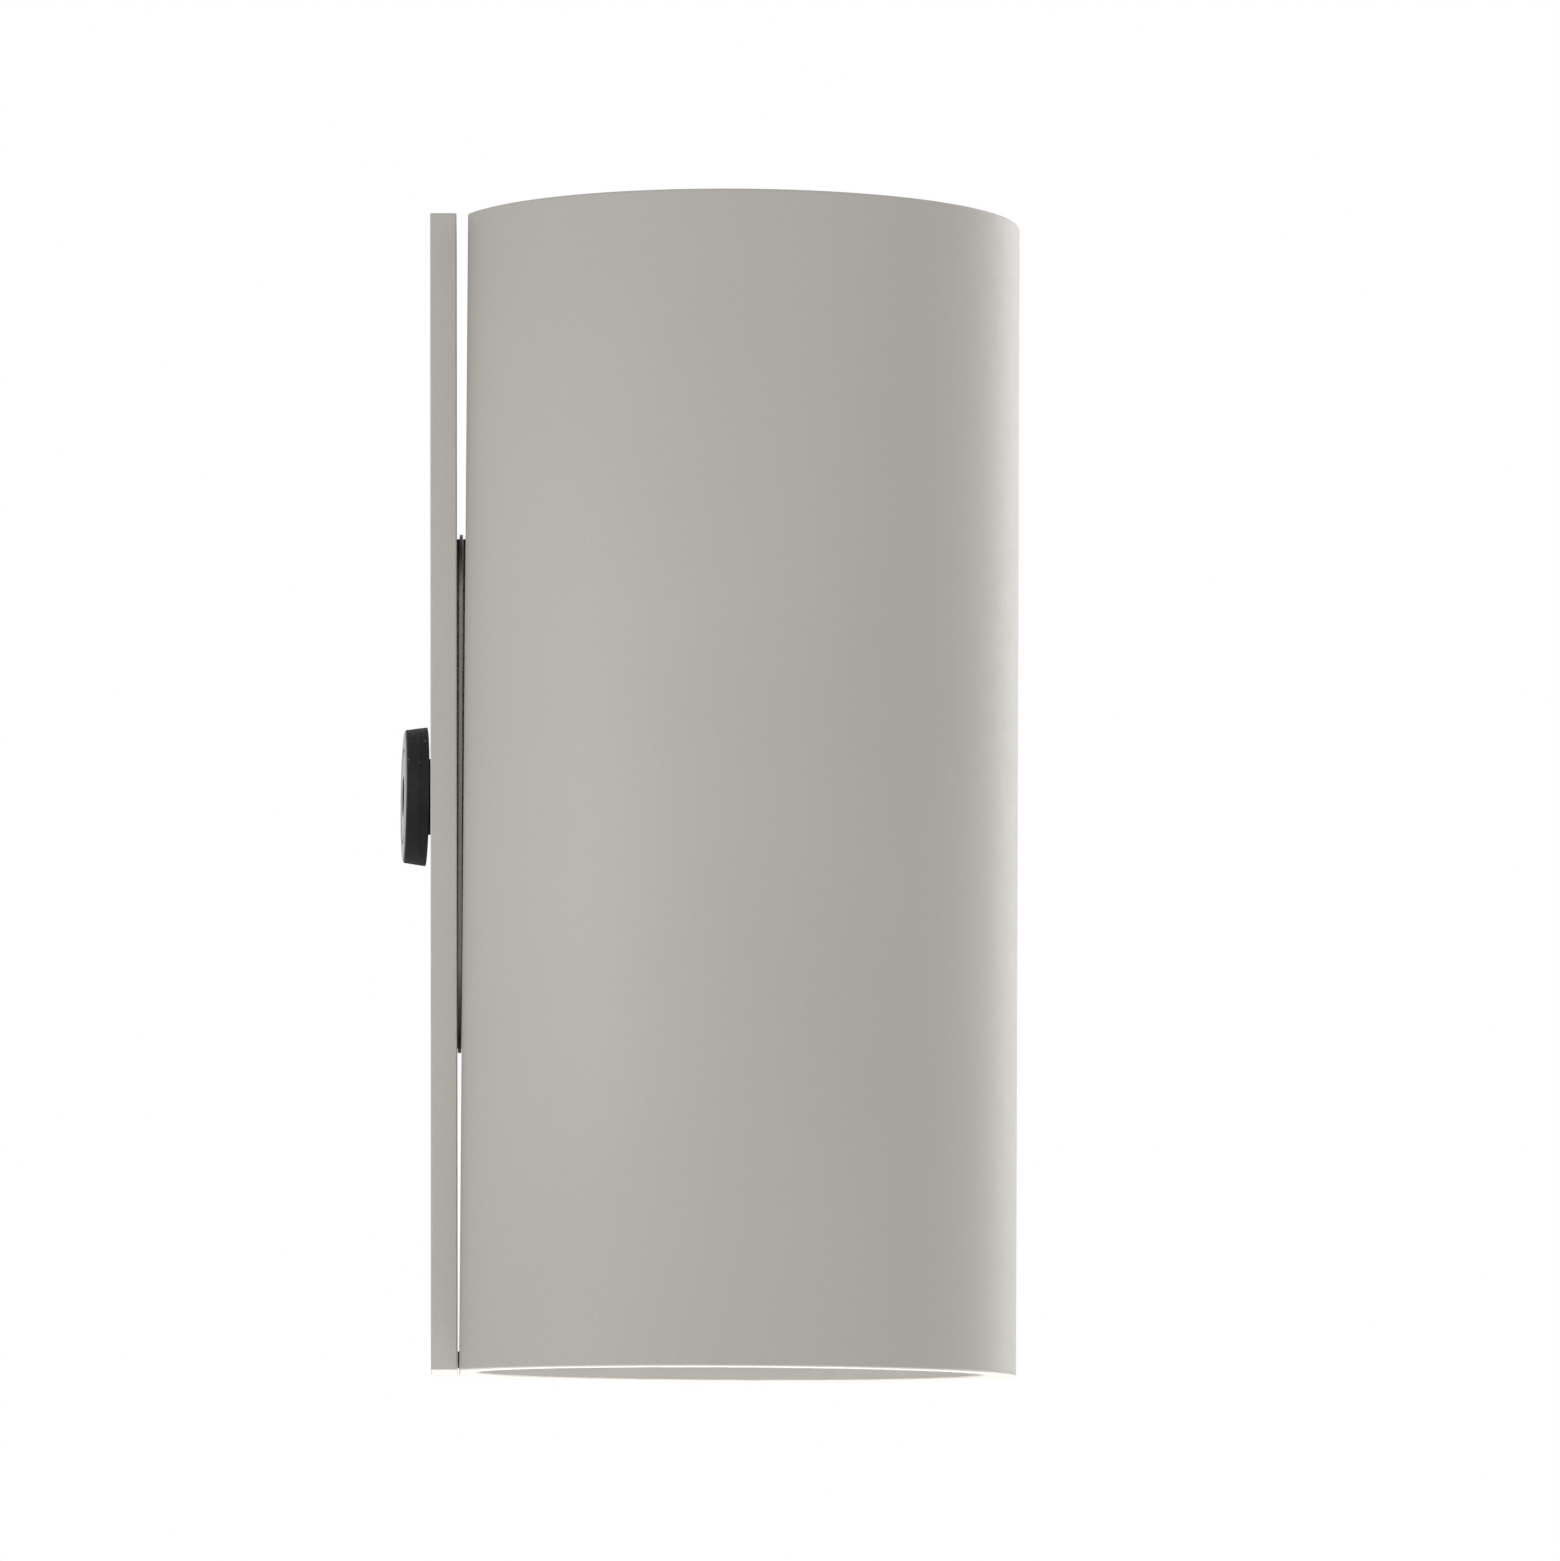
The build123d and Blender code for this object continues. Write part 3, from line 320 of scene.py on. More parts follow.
def moulded_polyamide(name, colour, grain_mm=0.5):
    """Polyamide, injection moulded: an even colour under a fine spark-eroded grain."""
    plastic = Surface(name, IOR=1.53, Specular_IOR_Level=0.45)
    plastic.tint(plastic.noise(8.0), colour, toned(colour, 0.95))
    grain = plastic.noise(grain_mm)
    plastic.drive("Roughness", grain, 0.38, 0.5)
    plastic.relief(grain, 0.01)
    return plastic.material


def silicone_sleeve(name, colour):
    """Silicone, extruded over a lead: as even as the moulded block, with a finer grain."""
    return moulded_polyamide(name, colour, 0.3)


def nickel_plated_brass(name, colour):
    """Brass, turned and nickel plated: bright and slightly warm."""
    nickel = Surface(name, Metallic=1.0)
    handled = nickel.noise(1.5, 3.0)
    nickel.tint(handled, colour, toned(colour, 0.9))
    nickel.drive("Roughness", handled, 0.18, 0.32, CLOUD_MIDDLES)
    return nickel.material


def die_cast_aluminium(name, colour):
    """Aluminium, pressure die cast and tumbled: satin grey with soft flow marks."""
    casting = Surface(name, Metallic=1.0)
    casting.tint(casting.noise(6.0, 5.0), colour, toned(colour, 0.88))
    skin = casting.noise(0.4, 3.0)
    casting.drive("Roughness", skin, 0.38, 0.55)
    casting.relief(skin, 0.012)
    return casting.material


def frosted_polycarbonate(name, colour):
    """Polycarbonate lens, injection moulded: milky, glossy, with light spread inside it."""
    lens = Surface(name, IOR=1.585, Subsurface_Weight=0.35, Subsurface_Scale=MM)
    haze = lens.noise(3.0, 3.0)
    lens.tint(haze, colour, toned(colour, 0.96))
    lens.drive("Roughness", haze, 0.2, 0.3, CLOUD_MIDDLES)
    return lens.material


# Each record slot's material: its name, its maker, and its colour or the panel's name for that.
# The frame holds a plain material by each slot's name. Two names are the same here, so for
# zinc_plated_steel and phosphated_steel finish_named returns the frame's, and none is made.
FINISHES = {
    "warm_grey_paint": ("powder_coated_aluminium", powder_coated_aluminium, "paint"),
    "black_rubber": ("moulded_epdm_rubber", moulded_epdm_rubber, "rubber"),
    "black_foam": ("gasket_foam", gasket_foam, "#66625B"),
    "zinc_plated_steel": ("zinc_plated_steel", zinc_plated_steel, "steel"),
    "blackened_steel": ("black_oxide_steel", black_oxide_steel, "#2A2A2D"),
    "phosphated_steel": ("phosphated_steel", phosphated_steel, "#A39E95"),
    "black_coated_metal": ("black_anodised_aluminium", black_anodised_aluminium, "inner_trim"),
    "clear_glass": ("toughened_glass", toughened_glass, "#FBFEFC"),
    "white_ceramic": ("steatite_ceramic", steatite_ceramic, "#E6E1D6"),
    "white_plastic": ("moulded_polyamide", moulded_polyamide, "#E9E8E3"),
    "brown_insulation": ("brown_silicone_sleeve", silicone_sleeve, "#5A3418"),
    "blue_insulation": ("blue_silicone_sleeve", silicone_sleeve, "#2F67B0"),
    "green_insulation": ("green_silicone_sleeve", silicone_sleeve, "#5E9A2E"),
    "plated_brass": ("nickel_plated_brass", nickel_plated_brass, "#D6D0BE"),
    "cast_aluminium": ("die_cast_aluminium", die_cast_aluminium, "#C9CACC"),
    "frosted_lens": ("frosted_polycarbonate", frosted_polycarbonate, "#ECEBE6"),
}


def finish_named(slot):
    """The material of a record slot: the one that has its name already, or else a new one."""
    name, make, colour = FINISHES[slot]
    if name in bpy.data.materials:
        return bpy.data.materials[name]
    if colour.startswith("#"):
        return make(name, linear(colour))
    return make(name, tuple(getattr(bpy.context.scene.wall_light_colours, colour)))


# ---------------------------------------------------------------- mesh tools
def add_piece(name, mesh):
    """Put a mesh in the scene as an object at the origin."""
    mesh.name = name
    piece = bpy.data.objects.new(name, mesh)
    bpy.context.scene.collection.objects.link(piece)
    return piece


def drop(piece):
    """Delete a helper object with its mesh."""
    mesh = piece.data
    bpy.data.objects.remove(piece)
    bpy.data.meshes.remove(mesh)


def shade(mesh):
    """Smooth shading that breaks at sharp edges, and where a small facet leaves a wide face."""
    work = bmesh.new()
    work.from_mesh(mesh)
    sharp, slight, wide = math.radians(32), math.radians(3), 12
    for face in work.faces:
        face.smooth = True
    for edge in work.edges:
        areas = sorted(face.calc_area() for face in edge.link_faces)
        limit = slight if len(areas) == 2 and areas[1] > wide * areas[0] else sharp
        edge.smooth = len(areas) == 2 and edge.calc_face_angle(0.0) < limit
    work.to_mesh(mesh)
    work.free()


def mesh_from_rings(rings, place=None, closed=True):
    """Skin equal rings of points (mm) in turn, outwards facing, moved by place."""
    work = bmesh.new()
    rows = [[work.verts.new(Vector(point) * MM) for point in ring] for ring in rings]
    pairs = list(zip(rows, rows[1:]))
    if closed:
        pairs.append((rows[-1], rows[0]))
    for low, high in pairs:
        for i in range(len(low)):
            j = (i + 1) % len(low)
            work.faces.new((low[i], low[j], high[j], high[i]))
    if not closed:
        work.faces.new(reversed(rows[0]))
        work.faces.new(rows[-1])
    bmesh.ops.remove_doubles(work, verts=work.verts, dist=0.0005 * MM)
    bmesh.ops.dissolve_degenerate(work, edges=work.edges, dist=0.0001 * MM)
    bmesh.ops.recalc_face_normals(work, faces=work.faces)
    if place:
        work.transform(place)
    mesh = bpy.data.meshes.new("skin")
    work.to_mesh(mesh)
    work.free()
    return mesh


def circle_at(radius, height, angles):
    """Ring of points; the radius may be a number or a function of the angle."""
    radii = [radius(angle) if callable(radius) else radius for angle in angles]
    return [(r * math.cos(angle), r * math.sin(angle), height) for r, angle in zip(radii, angles)]


def even_angles(count):
    return [2 * math.pi * i / count for i in range(count)]


def on_arc(start, control, end, t):
    """Point at t, from 0 to 1, of the curve from start to end that leans towards control."""
    return tuple((1 - t) ** 2 * start + 2 * t * (1 - t) * control + t**2 * end)


def rounded(profile, radius, steps=3, closed=True):
    """The (radius, height) profile with its sharp corners rounded, each as far as fits."""
    softened = []
    count = len(profile)
    for i, corner in enumerate(profile):
        here = Vector(corner)
        before = Vector(profile[i - 1]) - here
        after = Vector(profile[(i + 1) % count]) - here
        end = not closed and i in (0, count - 1)
        if end or before.length < 1e-6 or after.length < 1e-6:
            softened.append(tuple(here))
            continue
        turn = before.angle(after)
        if turn > math.radians(172):
            softened.append(tuple(here))
            continue
        reach = min(radius / math.tan(turn / 2), 0.45 * before.length, 0.45 * after.length)
        start = here + before.normalized() * reach
        finish = here + after.normalized() * reach
        softened += [on_arc(start, here, finish, step / steps) for step in range(steps + 1)]
    return softened


def turned(profile, segments, place=None, closed=True):
    """Revolve a (radius, height) profile in mm about Z, then move it by place."""
    angles = even_angles(segments)
    return mesh_from_rings([circle_at(r, z, angles) for r, z in profile], place, closed)


def copy_of(node):
    """A merged copy of a CAD node's mesh, with its flat faces whole."""
    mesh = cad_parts[node].data.copy()
    mesh.materials.clear()
    work = bmesh.new()
    work.from_mesh(mesh)
    bmesh.ops.remove_doubles(work, verts=work.verts, dist=0.002 * MM)
    flat = math.radians(0.3)
    bmesh.ops.dissolve_limit(work, angle_limit=flat, verts=work.verts, edges=work.edges)
    work.to_mesh(mesh)
    work.free()
    return mesh


def bake(piece):
    """Turn a piece and all its modifiers into a plain mesh."""
    depsgraph = bpy.context.evaluated_depsgraph_get()
    evaluated = piece.evaluated_get(depsgraph)
    mesh = bpy.data.meshes.new_from_object(evaluated, depsgraph=depsgraph)
    mesh.name = piece.name
    piece.modifiers.clear()
    old = piece.data
    piece.data = mesh
    bpy.data.meshes.remove(old)


def cut(piece, cutters):
    """Take the cutters' shapes out of a piece and delete them."""
    for cutter in cutters:
        modifier = piece.modifiers.new("cut", "BOOLEAN")
        modifier.operation = "DIFFERENCE"
        modifier.solver = "EXACT"
        modifier.object = cutter
    bake(piece)
    for cutter in cutters:
        drop(cutter)


def soften_edges(piece, width_mm):
    """Round the piece's sharp edges by a real Bevel modifier, and bake it in."""
    modifier = piece.modifiers.new("edges", "BEVEL")
    modifier.width = width_mm * MM
    modifier.segments = 2
    modifier.limit_method = "ANGLE"
    modifier.angle_limit = math.radians(40)
    modifier.harden_normals = False
    modifier.use_clamp_overlap = True
    bake(piece)


def joined(name, pieces):
    """One mesh object out of several, which are removed."""
    work = bmesh.new()
    for piece in pieces:
        work.from_mesh(piece.data)
    mesh = bpy.data.meshes.new(name)
    work.to_mesh(mesh)
    work.free()
    for piece in pieces:
        drop(piece)
    return add_piece(name, mesh)


def hand_over(piece, body, slot, *nodes):
    """Give a finished piece its material and body, and let it stand for its CAD nodes."""
    shade(piece.data)
    piece.data.materials.clear()
    piece.data.materials.append(finish_named(slot))
    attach(piece, body)
    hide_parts(*nodes)


def dressed_copy(node, name, body, slot, edge_mm=0.0):
    """Finish a CAD node by a smooth copy of it, with its edges broken by edge_mm."""
    piece = add_piece(name, copy_of(node))
    if edge_mm:
        soften_edges(piece, edge_mm)
    hand_over(piece, body, slot, node)


# ---------------------------------------------------------------- geometry node trees
def open_tree(tree, sockets):
    """Give a tree its inputs (name: kind) and an output, and return the inputs' values."""
    for label, kind in {**sockets, "Material": "Material"}.items():
        tree.interface.new_socket(name=label, in_out="INPUT", socket_type=f"NodeSocket{kind}")
    tree.interface.new_socket(name="Geometry", in_out="OUTPUT", socket_type="NodeSocketGeometry")
    return add_node(tree, "NodeGroupInput").node.outputs


def close_tree(tree, given, points, piece, placing):
    """Put the piece on all points, join it to what the tree was given, and make it real."""
    spread = {"Points": points, "Instance": piece, **placing}
    shape = add_node(tree, "GeometryNodeInstanceOnPoints", spread)
    if "Geometry" in given:
        whole = add_node(tree, "GeometryNodeJoinGeometry", {"Geometry": given["Geometry"]})
        tree.links.new(shape, whole.node.inputs["Geometry"])
        shape = whole
    real = add_node(tree, "GeometryNodeRealizeInstances", {"Geometry": shape})
    finish = {"Geometry": real, "Material": given["Material"]}
    painted = add_node(tree, "GeometryNodeSetMaterial", finish)
    add_node(tree, "NodeGroupOutput", {"Geometry": painted})


def set_out_in_grid(tree):
    """Like pieces set out in rows and columns, each turned at random about its own axis."""
    counts = {"Columns": "Int", "Rows": "Int", "Seed": "Int"}
    given = open_tree(tree, {"Piece": "Object", "Width": "Float", "Height": "Float", **counts})
    # A grid counts its points up Y first, so it is laid on its side and then put upright
    size = {"Size X": given["Height"], "Size Y": given["Width"]}
    number = {"Vertices X": given["Rows"], "Vertices Y": given["Columns"]}
    grid = add_node(tree, "GeometryNodeMeshGrid", {**size, **number})
    place = add_node(tree, "GeometryNodeInputPosition")
    lying = add_node(tree, "ShaderNodeSeparateXYZ", {"Vector": place}).node.outputs
    upright = add_node(tree, "ShaderNodeCombineXYZ", {"X": lying["Y"], "Y": lying["X"]})
    points = add_node(tree, "GeometryNodeSetPosition", {"Geometry": grid, "Position": upright})
    index = add_node(tree, "GeometryNodeInputIndex")
    draw = {"Max": 2 * math.pi, "Seed": given["Seed"], "ID": index}
    turn = add_node(tree, "FunctionNodeRandomValue", draw, data_type="FLOAT")
    facing = add_node(tree, "ShaderNodeCombineXYZ", {"Z": turn})
    piece = add_node(tree, "GeometryNodeObjectInfo", {"Object": given["Piece"]}, "Geometry")
    close_tree(tree, given, points, piece, {"Rotation": facing})


def set_out_round_axis(tree):
    """Like pieces turned about one axis in equal steps, joined to the part that carries them."""
    given = open_tree(tree, {"Geometry": "Geometry", "Piece": "Object", "Count": "Int"})
    points = add_node(tree, "GeometryNodePoints", {"Count": given["Count"]})
    index = add_node(tree, "GeometryNodeInputIndex")
    full_turn = {"Value": index, "From Max": given["Count"], "To Max": 2 * math.pi}
    angle = add_node(tree, "ShaderNodeMapRange", full_turn)
    facing = add_node(tree, "ShaderNodeCombineXYZ", {"Z": angle})
    piece = add_node(tree, "GeometryNodeObjectInfo", {"Object": given["Piece"]}, "Geometry")
    close_tree(tree, given, points, piece, {"Rotation": facing})


def honeycomb_of_domes(tree):
    """Small domes packed in a honeycomb on a round lens."""
    lengths = ("Pitch", "Field radius", "Dome radius", "Dome height", "Dome level")
    given = open_tree(tree, {"Geometry": "Geometry", **{name: "Float" for name in lengths}})
    # The domes' middles are two grids of points, one in the gaps of the other, a pitch apart
    comb = add_node(tree, "GeometryNodeJoinGeometry")
    line_gap = 2 * math.sin(math.radians(60))
    for columns, lines in ((DOMES_ACROSS, DOMES_ACROSS // 2 + 1), (DOMES_ACROSS - 1, DOMES_ACROSS // 2)):
        size = {"Size X": columns - 1.0, "Size Y": (lines - 1) * line_gap}
        number = {"Vertices X": columns, "Vertices Y": lines}
        grid = add_node(tree, "GeometryNodeMeshGrid", {**size, **number})
        tree.links.new(grid, comb.node.inputs["Geometry"])
    scaled = {"Geometry": comb, "Scale": given["Pitch"]}
    points = add_node(tree, "GeometryNodeTransform", scaled)
    place = add_node(tree, "GeometryNodeInputPosition")
    reach = add_node(tree, "ShaderNodeVectorMath", {0: place}, operation="LENGTH")
    outside = add_node(
        tree, "FunctionNodeCompare", {"A": reach, "B": given["Field radius"]},
        data_type="FLOAT", operation="GREATER_THAN",
    )
    unwanted = {"Geometry": points, "Selection": outside}
    kept = add_node(tree, "GeometryNodeDeleteGeometry", unwanted, domain="POINT")
    level = add_node(tree, "ShaderNodeCombineXYZ", {"Z": given["Dome level"]})
    lifted = add_node(tree, "GeometryNodeSetPosition", {"Geometry": kept, "Offset": level})
    ball = {"Segments": 16, "Rings": 10, "Radius": 1.0}
    dome = add_node(tree, "GeometryNodeMeshUVSphere", ball)
    across = {axis: given["Dome radius"] for axis in "XY"}
    squat = add_node(tree, "ShaderNodeCombineXYZ", {**across, "Z": given["Dome height"]})
    close_tree(tree, given, lifted, dome, {"Scale": squat})


def run_tree(piece, build, values, slot, place):
    """Run a tree on a piece with its inputs set by name, bake it in and move it by place."""
    tree = bpy.data.node_groups.get(build.__name__)
    if not tree:
        tree = bpy.data.node_groups.new(build.__name__, "GeometryNodeTree")
        build(tree)
    values = {**values, "Material": finish_named(slot)}
    modifier = piece.modifiers.new(tree.name, "NODES")
    modifier.node_group = tree
    for item in tree.interface.items_tree:
        if item.in_out == "INPUT" and item.name in values:
            modifier[item.identifier] = values[item.name]
    bake(piece)
    piece.data.transform(place)


# ---------------------------------------------------------------- threads and screws
def helix(radius, depth, pitch, height):
    """Radius round a V thread at a height: it climbs one pitch in one turn."""

    def radius_at(angle):
        phase = (height / pitch - angle / (2 * math.pi)) % 1.0
        return radius - depth * abs(2 * phase - 1)

    return radius_at


def threaded_rings(radius, depth, pitch, low, high, angles, samples=4):
    """Rings up a threaded stretch from low to high, whose ends run out into the plain radius."""
    count = max(round((high - low) / pitch * samples), 2)
    rings = []
    for i in range(count + 1):
        height = low + (high - low) * i / count
        run_out = min(1.0, i / samples, (count - i) / samples)
        rings.append(circle_at(helix(radius, depth * run_out, pitch, height), height, angles))
    return rings


def hexagon(across_corners_radius):
    """Radius of a hexagon as a function of the angle."""

    def radius_at(angle):
        wedge = (angle % (math.pi / 3)) - math.pi / 6
        return across_corners_radius * math.cos(math.pi / 6) / math.cos(wedge)

    return radius_at


def pan_head(radius, height):
    """Profile of a domed pan head that stands on Z = 0."""
    side = [(radius, 0.0), (radius, height * 0.5)]
    crown = [(radius * 0.86, height * 0.86), (radius * 0.68, height)]
    return rounded(side + crown, height * 0.25, closed=False)


def screw_mesh(length, head, socket, thread):
    """Screw on its own axis: threaded shank below Z = 0, pan head above it, with a hex socket.

    In mm, head is its radius and height, socket its radius and the height of its floor, and
    thread its radius and pitch.
    """
    angles = even_angles(36)
    socket_radius, floor = socket
    radius, pitch = thread
    top = head[1]
    rings = [circle_at(0.0, -length, angles), circle_at(radius * 0.7, -length, angles)]
    rings += threaded_rings(radius, radius * 0.18, pitch, -length + 0.3 * pitch, -0.02, angles)
    rings += [circle_at(r, z, angles) for r, z in pan_head(*head)]
    rings.append(circle_at(hexagon(socket_radius * 1.06), top, angles))
    rings.append(circle_at(hexagon(socket_radius), top - 0.06, angles))
    rings.append(circle_at(hexagon(socket_radius), floor, angles))
    rings.append(circle_at(0.0, floor - 0.3 * socket_radius, angles))
    return mesh_from_rings(rings)


def set_screws(name, slot, place, screw, seed, columns=1, rows=1, width=0.0, height=0.0):
    """Like screws in rows on a frame, whose outer ones are width and height mm apart."""
    pattern = add_piece(name + "_pattern", screw)
    piece = add_piece(name, bpy.data.meshes.new(name))
    span = {"Columns": columns, "Rows": rows, "Width": width * MM, "Height": height * MM}
    run_tree(piece, set_out_in_grid, {"Piece": pattern, "Seed": seed, **span}, slot, place)
    drop(pattern)
    return piece


# ---------------------------------------------------------------- settings
class WallLightSizes(bpy.types.PropertyGroup):
    """Sizes of the finished pieces that may be changed within the fixed frame."""

    rim_round: FloatProperty(
        name="Rim rounding", description="Rounding of the tube's rims, in mm", default=0.4
    )
    thread_pitch: FloatProperty(
        name="Thread pitch", description="Pitch of the thread in the mouths, in mm", default=1.5
    )
    thread_depth: FloatProperty(
        name="Thread depth", description="Depth of the thread in the mouths, in mm", default=0.55
    )
    tube_segments: IntProperty(
        name="Tube segments", description="Faces round the tube", default=288, min=96
    )
    lens_pitch: FloatProperty(
        name="Lens pitch", description="Spacing of the domes on the lamp's lens, in mm", default=3.1
    )
    lamp_fins: IntProperty(
        name="Lamp fins", description="Cooling fins round each lamp", default=18, min=3
    )
    baffle_groove: FloatProperty(
        name="Baffle groove", description="Spacing of the grooves that stop glare, in mm",
        default=1.2,
    )


class WallLightColours(bpy.types.PropertyGroup):
    """Colours of the main finishes."""

    paint: FloatVectorProperty(
        name="Paint", description="Powder coat of the tube and plate", subtype="COLOR",
        default=linear("#ADA9A4"), min=0.0, max=1.0,
    )
    rubber: FloatVectorProperty(
        name="Rubber", description="Cable grommet and seals", subtype="COLOR",
        default=linear("#171616"), min=0.0, max=1.0,
    )
    steel: FloatVectorProperty(
        name="Plated steel", description="Bracket, carrier and screws", subtype="COLOR",
        default=linear("#C2C3C2"), min=0.0, max=1.0,
    )
    inner_trim: FloatVectorProperty(
        name="Inner trim", description="Retaining rings and baffles", subtype="COLOR",
        default=linear("#222224"), min=0.0, max=1.0,
    )


class WallLightFinish(bpy.types.PropertyGroup):
    """Fineness of the surface textures."""

    paint_grain: FloatProperty(
        name="Paint grain", description="Grain of the powder coat, in mm", default=0.45
    )
    grain_depth: FloatProperty(
        name="Grain depth", description="Depth of that grain, in mm", default=0.01
    )
    orange_peel: FloatProperty(
        name="Orange peel", description="Width of the coat's waves, in mm", default=1.8
    )
    dust: FloatProperty(
        name="Dust", description="Share of lint on the rubber", default=0.5, min=0.0, max=1.0,
        subtype="FACTOR",
    )


class WallLightStage(bpy.types.PropertyGroup):
    """Floor, light and camera."""

    floor_drop: FloatProperty(
        name="Floor drop", description="Floor's distance below the origin, in mm", default=220.0
    )
    ambient: FloatProperty(
        name="Ambient", description="Strength of the even light from all round", default=0.58
    )


# ---------------------------------------------------------------- wall side
class WALLLIGHT_OT_wall_plate(bpy.types.Operator):
    """Finish the wall plate with its countersunk holes"""

    bl_idname = "wall_light.wall_plate"
    bl_label = "Wall plate"

    def execute(self, context):
        dressed_copy("wall_plate", "painted_wall_plate", "wall_mount", "warm_grey_paint", 0.06)
        return {"FINISHED"}


class WALLLIGHT_OT_grommet(bpy.types.Operator):
    """Turn the rubber cable grommet with its lips and parting line"""

    bl_idname = "wall_light.grommet"
    bl_label = "Cable grommet"

    BORE = 3.15
    NECK = 6.65

    def execute(self, context):
        # Radius and height towards the wall: the bore, the lip before the plate, the disc's
        # rim with its parting line, and the rear face with a groove
        profile = [
            (self.BORE, 4.35), (self.BORE, -5.8), (3.6, -6.3), (7.95, -6.3), (8.3, -5.1),
            (self.NECK, -5.1), (self.NECK, 0.8), (12.19, 0.8), (11.98, 2.36), (12.05, 2.43),
            (11.95, 2.5), (11.66, 4.55), (11.2, 4.8), (10.6, 4.85), (8.6, 4.82), (8.2, 4.6),
            (7.8, 4.82), (3.7, 4.85),
        ]
        piece = add_piece("rubber_cable_grommet", turned(rounded(profile, 0.12), 160, GROMMET))
        hand_over(piece, "wall_mount", "black_rubber", "cable_grommet")
        return {"FINISHED"}


class WALLLIGHT_OT_bracket(bpy.types.Operator):
    """Finish the hook bracket and its screws"""

    bl_idname = "wall_light.bracket"
    bl_label = "Hook bracket"

    def execute(self, context):
        dressed_copy("hook_bracket", "folded_hook_bracket", "wall_mount", "phosphated_steel")
        slot = "zinc_plated_steel"
        screw = screw_mesh(4.4, **M3_PAN_SCREW)
        piece = set_screws("bracket_pan_screws", slot, BRACKET_FRONT, screw, 3, rows=2, height=25.2)
        hand_over(piece, "wall_mount", slot, "bracket_screws")
        screw = screw_mesh(3.8, head=(3.0, 2.2), socket=(1.6, 1.1), thread=(1.75, 0.6))
        place = shifted(PLATE_FRONT, 0, 19.4, 0)
        piece = set_screws("plate_earthing_screw", slot, place, screw, 5)
        hand_over(piece, "wall_mount", slot, "plate_earth_screw")
        return {"FINISHED"}


class WALLLIGHT_OT_foam_gaskets(bpy.types.Operator):
    """Swell the squeezed foam pads between the plate, the bracket and the tube"""

    bl_idname = "wall_light.foam_gaskets"
    bl_label = "Foam pads"

    def execute(self, context):
        for node, body in (("plate_pad", "wall_mount"), ("tube_pad", "tube")):
            piece = add_piece(f"foam_{node}", self.swollen(node))
            hand_over(piece, body, "black_foam", node)
        return {"FINISHED"}

    @staticmethod
    def swollen(node):
        """Copy of a pad whose long sides bulge unevenly, where the foam is squeezed out."""
        mesh = copy_of(node)
        work = bmesh.new()
        work.from_mesh(mesh)
        long_edges = [e for e in work.edges if e.calc_length() > 3.0 * MM]
        bmesh.ops.subdivide_edges(work, edges=long_edges, cuts=6, use_grid_fill=False)
        across = [
            e
            for e in work.edges
            if abs((e.verts[0].co - e.verts[1].co).normalized().y) > 0.9 and len(e.link_faces) == 2
        ]
        new = bmesh.ops.subdivide_edges(work, edges=across, cuts=1)
        crest = {item for item in new["geom_inner"] if isinstance(item, bmesh.types.BMVert)}
        work.normal_update()
        for vert in work.verts:
            if abs(vert.normal.x) > 0.3:
                swell = 0.6 + 0.04 * noise.noise(vert.co / (1.7 * MM)) + 0.06 * (vert in crest)
                vert.co.x += math.copysign(swell * MM, vert.normal.x)
        work.to_mesh(mesh)
        work.free()
        return mesh


